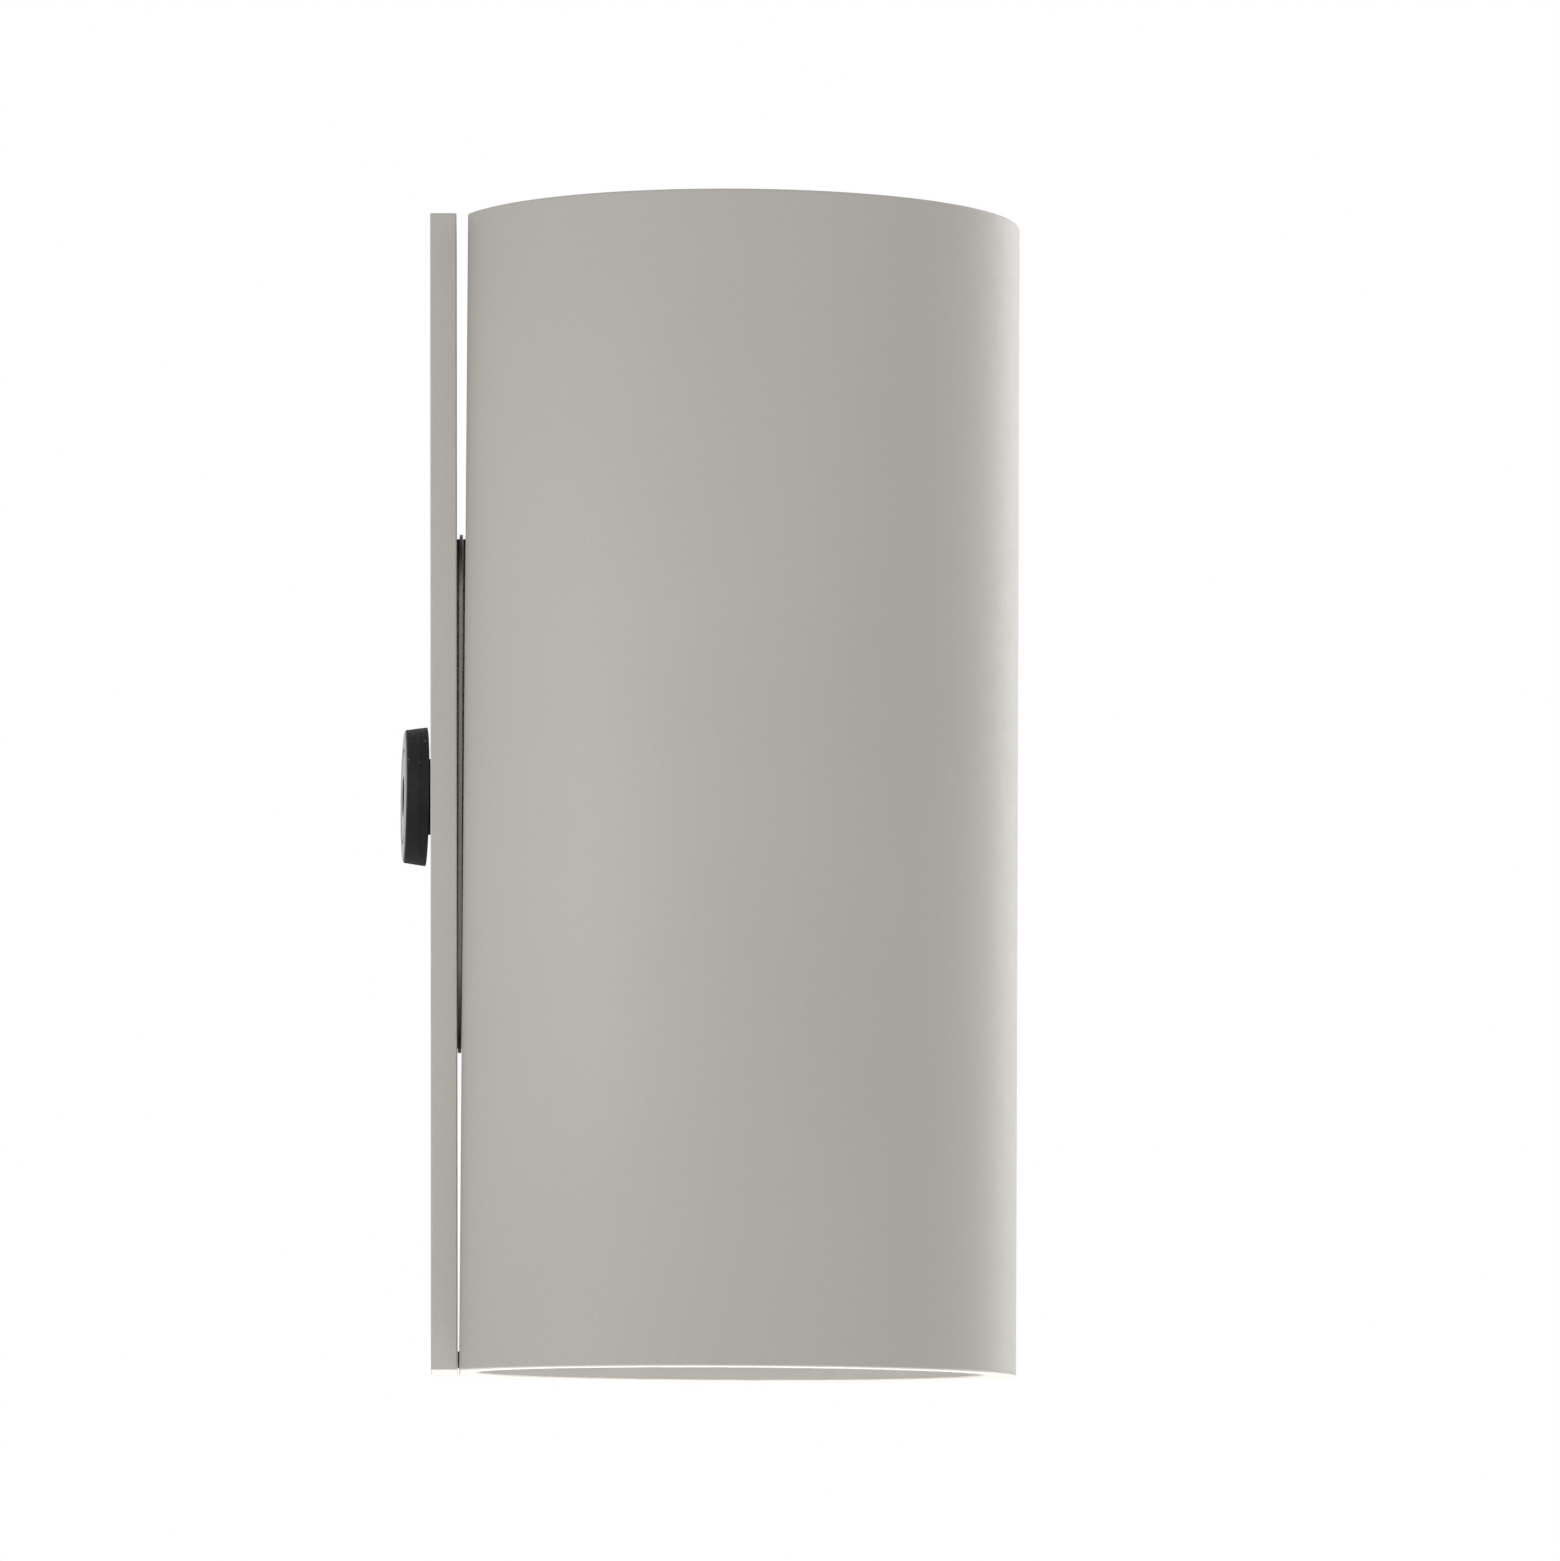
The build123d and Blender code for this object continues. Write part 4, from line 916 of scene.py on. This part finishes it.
# ---------------------------------------------------------------- tube
class WALLLIGHT_OT_tube(bpy.types.Operator):
    """Form the painted tube: flattened back, rounded rims, threaded mouths and cut openings"""

    bl_idname = "wall_light.tube"
    bl_label = "Tube"

    RADIUS = 50.0
    CORNER = 0.6
    HALF_HEIGHT = 101.0
    BORE = 43.2
    MOUTH = 44.5
    CHAMFER = 0.3
    # Openings in the flat: height up the light, then width, height and corner
    SLOTS = (
        (0.0, (20.0, 50.0, 9.99)),
        (32.925, (14.0, 6.45, 0.6)),
        (-38.075, (14.0, 6.45, 0.6)),
    )
    # Screw holes in the flat: their heights, their radius and that of the countersink
    LOCK_HOLE = -98.65
    CARRIER_HOLES = (66.0, -66.0)
    SCREW_HOLE = 1.55
    COUNTERSINK = 2.95
    # Depths from just outside the flat to well inside the tube
    OUTSIDE, INSIDE = -1.0, 12.0

    def execute(self, context):
        mouth = self.mouth(context.scene.wall_light_sizes)
        foot = [[(x, y, -z) for x, y, z in ring] for ring in reversed(mouth)]
        piece = add_piece("painted_tube", mesh_from_rings(foot + mouth, ENDS["upper"]))
        cut(piece, self.cutters())
        hand_over(piece, "tube", "warm_grey_paint", "tube_shell")
        return {"FINISHED"}

    def outline(self, inset, count):
        """Closed outline of the tube, moved inwards by inset, always of the same point count."""
        radius = self.RADIUS - inset
        flat = FLAT_FROM_AXIS - inset
        corner = max(self.CORNER - inset, 0.05)
        centre_y = flat - corner
        centre_x = math.sqrt((radius - corner) ** 2 - centre_y**2)
        lean = math.atan2(centre_y, centre_x)
        points = []
        steps = 6
        for i in range(steps + 1):
            angle = lean + (math.pi / 2 - lean) * i / steps
            points.append((centre_x + corner * math.cos(angle), centre_y + corner * math.sin(angle)))
        flat_steps = 8
        for i in range(1, flat_steps):
            points.append((centre_x - 2 * centre_x * i / flat_steps, flat))
        points += [(-x, y) for x, y in reversed(points[: steps + 1])]
        start = math.pi - lean
        sweep = math.pi + 2 * lean
        for i in range(1, count):
            angle = start + sweep * i / count
            points.append((radius * math.cos(angle), radius * math.sin(angle)))
        return points

    def mouth(self, sizes):
        """Rings from the outer rim over its face and down the threaded mouth to the bore."""
        top, soft, count = self.HALF_HEIGHT, sizes.rim_round, sizes.tube_segments
        angles = [math.atan2(y, x) for x, y in self.outline(0.0, count)]
        quarter = [math.pi / 2 * step / 3 for step in range(4)]
        rim = [(soft * (1 - math.cos(angle)), soft * (1 - math.sin(angle))) for angle in quarter]
        levels = [(inset, top - drop) for inset, drop in rim] + [(soft + 0.8, top)]
        rings = [[(x, y, z) for x, y in self.outline(inset, count)] for inset, z in levels]
        rings += [circle_at(self.MOUTH + drop, top - inset, angles) for inset, drop in rim]
        # The thread's ends run out into the mouth's own wall
        thread = threaded_rings(
            self.MOUTH + sizes.thread_depth, sizes.thread_depth, sizes.thread_pitch,
            GLASS_TOP - 1.5, top - 3.2, angles,
        )
        rings.append(circle_at(self.MOUTH, top - 3.0, angles))
        rings += thread[-2:0:-1]
        rings.append(circle_at(self.MOUTH, GLASS_TOP - 1.7, angles))
        rings.append(circle_at(self.MOUTH, LEDGE, angles))
        rings.append(circle_at(self.BORE + self.CHAMFER, LEDGE, angles))
        rings.append(circle_at(self.BORE, LEDGE - self.CHAMFER, angles))
        return rings

    def cutters(self):
        """Solids of the openings in the flat: cable slot, hook slots and screw holes."""
        made = [self.slab(height, *opening) for height, opening in self.SLOTS]
        through = (self.SCREW_HOLE, self.INSIDE)
        made.append(self.hole(self.LOCK_HOLE, [(self.SCREW_HOLE, self.OUTSIDE), through]))
        mouth = (self.COUNTERSINK - self.OUTSIDE, self.OUTSIDE)
        neck = (self.SCREW_HOLE, self.COUNTERSINK - self.SCREW_HOLE)
        made += [self.hole(height, [mouth, neck, through]) for height in self.CARRIER_HOLES]
        return made

    @staticmethod
    def hole(height, profile):
        """Round cutter whose (radius, depth) profile goes into the flat at a height."""
        rings = [circle_at(radius, depth, even_angles(48)) for radius, depth in profile]
        rings = [[(x, y + height, z) for x, y, z in ring] for ring in rings]
        return add_piece("hole", mesh_from_rings(rings, FLAT, closed=False))

    def slab(self, height, width, tall, corner):
        """Upright cutter with rounded corners that goes through the flat at a height."""
        points = []
        for sx, sy, start in ((1, 1, 0), (-1, 1, 90), (-1, -1, 180), (1, -1, 270)):
            for i in range(9):
                angle = math.radians(start + 90 * i / 8)
                x = sx * (width / 2 - corner) + corner * math.cos(angle)
                points.append((x, height + sy * (tall / 2 - corner) + corner * math.sin(angle)))
        rings = [[(x, y, z) for x, y in points] for z in (self.OUTSIDE, self.INSIDE)]
        return add_piece("slot", mesh_from_rings(rings, FLAT, closed=False))


class WALLLIGHT_OT_lock_screw(bpy.types.Operator):
    """Finish the headless lock screw at the tube's foot"""

    bl_idname = "wall_light.lock_screw"
    bl_label = "Lock screw"

    LENGTH = 3.99
    RADIUS, THREAD_DEPTH, PITCH = 1.49, 0.27, 0.5
    SOCKET = 0.87

    def execute(self, context):
        angles = even_angles(48)
        low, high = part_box("lock_screw")
        # The screw's axis lies along the light's Y, with its tip towards the plate
        tip = Vector((0, high[1], (low[2] + high[2]) / 2)) / MM
        place = frame_matrix(tip, -TO_WALL, TUBE_AXIS)
        end = self.LENGTH
        rings = [circle_at(radius, z, angles) for radius, z in ((0.0, 0.02), (1.38, 0.02), (1.48, 0.1))]
        rings += threaded_rings(self.RADIUS, self.THREAD_DEPTH, self.PITCH, 0.45, end - 0.15, angles, 6)
        rings.append(circle_at(1.25, end, angles))
        rings.append(circle_at(hexagon(self.SOCKET + 0.05), end, angles))
        rings.append(circle_at(hexagon(self.SOCKET), end - 0.06, angles))
        rings.append(circle_at(hexagon(self.SOCKET), end - 1.5, angles))
        rings.append(circle_at(0.0, end - 1.8, angles))
        piece = add_piece("headless_lock_screw", mesh_from_rings(rings, place))
        hand_over(piece, "lock", "blackened_steel", "lock_screw")
        return {"FINISHED"}


# ---------------------------------------------------------------- inside the tube
class WALLLIGHT_OT_carrier(bpy.types.Operator):
    """Finish the lamp carrier with its terminals, leads and screws"""

    bl_idname = "wall_light.carrier"
    bl_label = "Lamp carrier"

    SPINE_FROM_AXIS = 29.5

    def execute(self, context):
        dressed_copy("lamp_carrier", "plated_lamp_carrier", "tube", "zinc_plated_steel", 0.15)
        dressed_copy("terminal_block", "moulded_terminal_block", "tube", "white_plastic", 0.15)
        dressed_copy("live_leads", "brown_live_leads", "tube", "brown_insulation")
        dressed_copy("neutral_leads", "blue_neutral_leads", "tube", "blue_insulation")
        dressed_copy("earth_lead", "green_earth_lead", "tube", "green_insulation")
        dressed_copy("earth_tag", "plated_earth_tag", "tube", "zinc_plated_steel", 0.08)
        dressed_copy("carrier_screws", "countersunk_carrier_screws", "tube", "zinc_plated_steel")
        spine = frame_matrix(TUBE_ORIGIN + TO_WALL * self.SPINE_FROM_AXIS, TO_WALL, TUBE_AXIS)
        screw = screw_mesh(2.05, head=(1.9, 1.2), socket=(1.0, 0.6), thread=(1.25, 0.45))
        rows = {"columns": 3, "rows": 2, "width": 18.0, "height": 9.0}
        place = shifted(spine, 0, 0, 8.0)
        piece = set_screws("plated_terminal_screws", "plated_brass", place, screw, 11, **rows)
        hand_over(piece, "tube", "plated_brass", "terminal_screws")
        screw = screw_mesh(5.0, **M3_PAN_SCREW)
        place = shifted(spine, -18.75, 30.0, 0.8)
        piece = set_screws("plated_tag_screw", "zinc_plated_steel", place, screw, 7)
        hand_over(piece, "tube", "zinc_plated_steel", "carrier_earth_screw")
        return {"FINISHED"}


class WALLLIGHT_OT_lampholders(bpy.types.Operator):
    """Finish the ceramic lampholders and their sunk screws"""

    bl_idname = "wall_light.lampholders"
    bl_label = "Lampholders"

    def execute(self, context):
        slot = "zinc_plated_steel"
        sets = []
        for number, (end, place) in enumerate(ENDS.items()):
            node = f"{end}_lampholder"
            dressed_copy(node, f"ceramic_{node}", "tube", "white_ceramic", 0.15)
            seat = shifted(place, 0, 0, HOLDER_TOP - 3.2)
            screw = screw_mesh(17.3, **M3_PAN_SCREW)
            pair = set_screws(f"{end}_set", slot, seat, screw, 13 + number, rows=2, height=18.8)
            sets.append(pair)
        hand_over(joined("plated_holder_screws", sets), "tube", slot, "holder_screws")
        return {"FINISHED"}


# ---------------------------------------------------------------- mouths and lamps
class WALLLIGHT_OT_mouths(bpy.types.Operator):
    """Turn the baffle, seal, glass and retaining ring of each mouth"""

    bl_idname = "wall_light.mouths"
    bl_label = "Mouths"

    SEAT_RADIUS = 44.4
    SEAL_INNER = 40.7
    COLLAR_BORE, COLLAR_RADIUS, COLLAR_BASE = 26.0, 27.2, 73.5
    GROOVES_FROM, GROOVE_DEPTH = 40.4, 0.35
    RING_INNER, RING_OUTER = 40.63, 44.43
    NOTCH_INNER, NOTCH_OUTER, NOTCH_HALF = 38.7, 42.5, 1.6
    NOTCH_DEPTH = 2.2

    def execute(self, context):
        sizes = context.scene.wall_light_sizes
        for end, place in ENDS.items():
            for piece, mesh, slot, node in (
                ("grooved_baffle", self.baffle(sizes.baffle_groove), "black_coated_metal", "baffle"),
                ("rubber_seal", self.seal(), "black_rubber", "seal"),
                ("cover_glass", self.glass(), "clear_glass", "glass"),
            ):
                mesh.transform(place)
                hand_over(add_piece(f"{end}_{piece}", mesh), "tube", slot, f"{end}_{node}")
            self.ring(end, place, sizes)
        return {"FINISHED"}

    def baffle(self, groove):
        """Black baffle whose face is grooved in rings against glare."""
        top, lowest = BAFFLE_TOP, self.COLLAR_BASE
        profile = [(self.COLLAR_BORE, lowest), (self.COLLAR_RADIUS, lowest)]
        profile += [(self.COLLAR_RADIUS, LEDGE), (self.SEAT_RADIUS, LEDGE), (self.SEAT_RADIUS, top)]
        radius = self.GROOVES_FROM
        while radius - groove > self.COLLAR_BORE + 1:
            profile.append((radius, top))
            profile.append((radius - groove * 0.5, top - self.GROOVE_DEPTH))
            radius -= groove
        profile += [(radius, top), (self.COLLAR_BORE, top)]
        return turned(rounded(profile, 0.12, 2), 160)

    def seal(self):
        """Square rubber ring with rounded corners, whose flat faces have a ring in their middle."""
        inner, outer = self.SEAL_INNER, self.SEAT_RADIUS
        middle = (inner + outer) / 2
        profile = [(outer, BAFFLE_TOP), (outer, SEAL_TOP), (middle, SEAL_TOP)]
        profile += [(inner, SEAL_TOP), (inner, BAFFLE_TOP), (middle, BAFFLE_TOP)]
        return turned(rounded(profile, 0.3, 4), 160)

    def glass(self):
        """Glass disc with ground edges."""
        edge = [(self.SEAT_RADIUS, SEAL_TOP), (self.SEAT_RADIUS, GLASS_TOP)]
        profile = [(0, SEAL_TOP), *edge, (0, GLASS_TOP)]
        return turned(rounded(profile, 0.4, closed=False), 160)

    def ring(self, end, place, sizes):
        """Threaded retaining ring with rounded lips and the notches for a pin spanner."""
        angles = even_angles(192)
        inner, outer = self.RING_INNER, self.RING_OUTER
        base = ((inner + 0.3, RING_BASE), (outer - 0.7, RING_BASE))
        lips = (
            (outer - 0.35, RING_TOP - 0.12), (outer - 0.6, RING_TOP), (inner + 0.6, RING_TOP),
            (inner + 0.2, RING_TOP - 0.15), (inner, RING_TOP - 0.5), (inner, RING_BASE + 0.3),
        )
        rings = [circle_at(radius, height, angles) for radius, height in base]
        rings += threaded_rings(
            outer, sizes.thread_depth, sizes.thread_pitch, RING_BASE + 0.5, RING_TOP - 0.6, angles
        )
        rings += [circle_at(radius, height, angles) for radius, height in lips]
        piece = add_piece(f"{end}_threaded_ring", mesh_from_rings(rings))
        near, far, half = self.NOTCH_INNER, self.NOTCH_OUTER, self.NOTCH_HALF
        corners = [(near, -half), (far, -half), (far, half), (near, half)]
        levels = (RING_TOP - self.NOTCH_DEPTH, RING_TOP + 1)
        loops = [[(x, y, z) for x, y in corners] for z in levels]
        turns = [Matrix.Rotation(math.pi / 2 * i, 4, "Z") for i in range(4)]
        cut(piece, [add_piece("notch", mesh_from_rings(loops, turn, False)) for turn in turns])
        piece.data.transform(place)
        hand_over(piece, f"{end}_ring", "black_coated_metal", f"{end}_retaining_ring")


class WALLLIGHT_OT_lamps(bpy.types.Operator):
    """Form the reflector lamps: finned body, lens of small domes and base pins"""

    bl_idname = "wall_light.lamps"
    bl_label = "Lamps"

    NECK = LAMP_BASE + 8.5
    RIM = LAMP_FACE - 7.0
    LENS_BASE = LAMP_FACE - 1.5
    LENS_LEVEL = LENS_BASE + 0.8
    # The lens's flat field, inside its lip
    LENS_RADIUS = 20.9

    def execute(self, context):
        sizes = context.scene.wall_light_sizes
        for end, place in ENDS.items():
            body = f"{end}_lamp"
            self.body(end, body, place, sizes.lamp_fins)
            self.lens(end, body, place, sizes.lens_pitch)
            dressed_copy(f"{end}_lamp_pins", f"{end}_plated_lamp_pins", body, "plated_brass")
        return {"FINISHED"}

    def flare(self, outset, steps=14):
        """Points of the arc from the lamp's neck to its rim."""
        low = Vector((13.5 + outset, self.NECK))
        high = Vector((24.3 + outset, self.RIM))
        middle = Vector((17.7 + outset, (low.y + high.y) / 2))
        control = 2 * middle - (low + high) / 2
        return [on_arc(low, control, high, i / steps) for i in range(steps + 1)]

    def body(self, end, body, place, fins):
        """Cast body: base, flare and rim turned as one, with fins set out round it."""
        base = [(0, LAMP_BASE), (9.5, LAMP_BASE), (10.5, LAMP_BASE + 1)]
        base += [(10.5, self.NECK - 1), (12.1, self.NECK)]
        rim = [
            (22.9, self.RIM), (25.0, self.RIM), (25.0, LAMP_FACE - 1.0), (24.0, LAMP_FACE),
            (22.5, LAMP_FACE), (22.5, self.LENS_BASE), (0, self.LENS_BASE),
        ]
        profile = rounded(base, 0.5, closed=False)
        profile += self.flare(-1.4)[1:] + rounded(rim, 0.35, closed=False)[1:]
        piece = add_piece(f"{end}_finned_lamp_body", turned(profile, 144, closed=False))
        blade = self.blade(fins)
        values = {"Piece": blade, "Count": fins}
        run_tree(piece, set_out_round_axis, values, "cast_aluminium", place)
        drop(blade)
        hand_over(piece, body, "cast_aluminium", f"{end}_lamp_body")

    def blade(self, fins):
        """One rounded fin that follows the flare, cast with its root inside the body."""
        half_angle = math.pi * 0.5 / fins
        # Section of the fin: share of its half angle, and reach from its root to its crest
        flank = ((-1.0, 0.0), (-1.0, 0.75), (-0.8, 0.95), (-0.4, 1.0))
        section = (*flank, *((-share, reach) for share, reach in reversed(flank)))
        rings = []
        for (crest, height), (root, _) in zip(self.flare(-0.02), self.flare(-2.8)):
            ring = []
            for share, reach in section:
                radius = root + (crest - root) * reach
                angle = half_angle * share
                ring.append((radius * math.cos(angle), radius * math.sin(angle), height))
            rings.append(ring)
        return add_piece("fin", mesh_from_rings(rings, closed=False))

    def lens(self, end, body, place, pitch):
        """Lens with a raised lip, and small domes all over the round field inside it."""
        low, level, lip = self.LENS_BASE, self.LENS_LEVEL, self.LENS_BASE + 1.15
        profile = [(0, low), (22.4, low), (22.4, lip), (21.2, lip), (self.LENS_RADIUS, level)]
        mesh = turned(rounded([*profile, (0, level)], 0.12, 2, closed=False), 128, closed=False)
        piece = add_piece(f"{end}_domed_lens", mesh)
        sizes = {
            "Pitch": pitch,
            "Field radius": self.LENS_RADIUS - 0.5 * pitch,
            "Dome radius": 0.52 * pitch,
            "Dome height": 0.42,
            "Dome level": level,
        }
        values = {name: size * MM for name, size in sizes.items()}
        run_tree(piece, honeycomb_of_domes, values, "frosted_lens", place)
        hand_over(piece, body, "frosted_lens", f"{end}_lamp_lens")


# ---------------------------------------------------------------- stage
class WALLLIGHT_OT_stage(bpy.types.Operator):
    """Lay the pale floor and set the lamps, the world and the camera"""

    bl_idname = "wall_light.stage"
    bl_label = "Stage"

    # Camera in mm and degrees, from the outline in the photograph
    CAMERA_AT = Vector((-1807.1, -6.5, -151.9))
    YAW, PITCH, ROLL = -1.737, 4.892, -0.203
    FOCAL_PIXELS = 10329.0
    PICTURE_HEIGHT = 1561
    SENSOR = 36.0
    # Soft square lamps that look at the tube: place and width in metres, and power in watts
    LAMPS = {
        "wall_side": ((-0.35, 1.65, 0.65), 1.1, 3.3),
        "beside": ((-1.7, 0.3, 0.6), 1.2, 2.0),
        "room_side": ((-1.6, -1.2, 0.7), 1.4, 7.1),
        "rim": ((2.3, -2.1, 0.75), 1.7, 42.5),
        "gap": ((-0.16, 0.14, 0.0), 0.08, 0.11),
        "under": ((0, -0.05, -0.205), 0.12, 0.32),
    }
    LAMPS_LOOK_AT = Vector((0, -0.05, 0))

    def execute(self, context):
        stage = context.scene.wall_light_stage
        self.floor(stage.floor_drop)
        self.world(context.scene, stage.ambient)
        for name, (place, width, power) in self.LAMPS.items():
            self.lamp(name, place, width, power)
        self.camera(context.scene)
        context.scene.view_settings.view_transform = "Standard"
        return {"FINISHED"}

    @staticmethod
    def floor(floor_drop):
        """Pale painted floor with a faint unevenness."""
        half = 6.0
        corners = [(-half, -half), (half, -half), (half, half), (-half, half)]
        mesh = bpy.data.meshes.new("floor")
        mesh.from_pydata([(x, y, -floor_drop * MM) for x, y in corners], [], [(0, 1, 2, 3)])
        floor = add_piece("studio_floor", mesh)
        paint = Surface("matt_white_paint", Roughness=0.8)
        paint.tint(paint.noise(300.0), linear("#F7F7F6"), linear("#F4F4F3"))
        mesh.materials.append(paint.material)

    @staticmethod
    def world(scene, ambient):
        """White to the camera, to reflections and through glass, and an even light elsewhere."""
        scene.world = bpy.data.worlds.new("studio")
        scene.world.use_nodes = True
        tree = scene.world.node_tree
        tree.nodes.clear()
        rays = add_node(tree, "ShaderNodeLightPath").node.outputs
        seen = rays["Is Camera Ray"]
        for kind in ("Is Glossy Ray", "Is Transmission Ray"):
            seen = add_node(tree, "ShaderNodeMath", {0: seen, 1: rays[kind]}, operation="MAXIMUM")
        spread = {"Value": seen, "To Min": ambient, "To Max": 1.0}
        strength = add_node(tree, "ShaderNodeMapRange", spread)
        white = {"Color": (1, 1, 1, 1), "Strength": strength}
        background = add_node(tree, "ShaderNodeBackground", white)
        add_node(tree, "ShaderNodeOutputWorld", {"Surface": background})

    def lamp(self, name, place, width, power):
        """Soft square lamp that the camera can't see."""
        light = bpy.data.lights.new(name, "AREA")
        light.size = width
        light.energy = power
        lamp = bpy.data.objects.new(name, light)
        bpy.context.scene.collection.objects.link(lamp)
        lamp.location = place
        look = self.LAMPS_LOOK_AT - Vector(place)
        lamp.rotation_euler = look.to_track_quat("-Z", "Y").to_euler()
        lamp.visible_camera = False

    def camera(self, scene):
        """Long lens at the photograph's place, turned by its yaw, pitch and roll."""
        yaw, pitch, roll = (math.radians(a) for a in (self.YAW, self.PITCH, self.ROLL))
        level = Vector((math.cos(yaw), math.sin(yaw), 0))
        ahead = level * math.cos(pitch) + UP * math.sin(pitch)
        right = ahead.cross(UP).normalized()
        above = right.cross(ahead)
        side = right * math.cos(roll) + above * math.sin(roll)
        top = above * math.cos(roll) - right * math.sin(roll)
        data = bpy.data.cameras.new("camera")
        data.sensor_width = self.SENSOR
        data.lens = self.FOCAL_PIXELS / self.PICTURE_HEIGHT * self.SENSOR
        data.clip_start = 0.05
        data.clip_end = 50.0
        camera = bpy.data.objects.new("camera", data)
        scene.collection.objects.link(camera)
        turn = Matrix((side, top, -ahead)).transposed().to_4x4()
        camera.matrix_world = Matrix.Translation(self.CAMERA_AT * MM) @ turn
        scene.camera = camera


# ---------------------------------------------------------------- panel
STEPS = [
    WALLLIGHT_OT_wall_plate,
    WALLLIGHT_OT_grommet,
    WALLLIGHT_OT_bracket,
    WALLLIGHT_OT_foam_gaskets,
    WALLLIGHT_OT_tube,
    WALLLIGHT_OT_lock_screw,
    WALLLIGHT_OT_carrier,
    WALLLIGHT_OT_lampholders,
    WALLLIGHT_OT_mouths,
    WALLLIGHT_OT_lamps,
    WALLLIGHT_OT_stage,
]


class WALLLIGHT_PT_panel(bpy.types.Panel):
    """Settings and steps of the wall light"""

    bl_idname = "WALLLIGHT_PT_panel"
    bl_label = "Tube wall light"
    bl_space_type = "VIEW_3D"
    bl_region_type = "UI"
    bl_category = "Wall light"

    def draw(self, context):
        for name, group in GROUPS.items():
            box = self.layout.box()
            for setting in group.__annotations__:
                box.prop(getattr(context.scene, name), setting)
        for step in STEPS:
            self.layout.operator(step.bl_idname)


GROUPS = {
    "wall_light_sizes": WallLightSizes,
    "wall_light_colours": WallLightColours,
    "wall_light_finish": WallLightFinish,
    "wall_light_stage": WallLightStage,
}


def register():
    for name, group in GROUPS.items():
        bpy.utils.register_class(group)
        setattr(bpy.types.Scene, name, PointerProperty(type=group))
    for item in (*STEPS, WALLLIGHT_PT_panel):
        bpy.utils.register_class(item)


def unregister():
    for item in (WALLLIGHT_PT_panel, *reversed(STEPS)):
        bpy.utils.unregister_class(item)
    for name, group in GROUPS.items():
        delattr(bpy.types.Scene, name)
        bpy.utils.unregister_class(group)


def main():
    """Build every piece in order."""
    register()
    for step in STEPS:
        family, name = step.bl_idname.split(".")
        getattr(getattr(bpy.ops, family), name)()


if __name__ == "__main__":
    main()
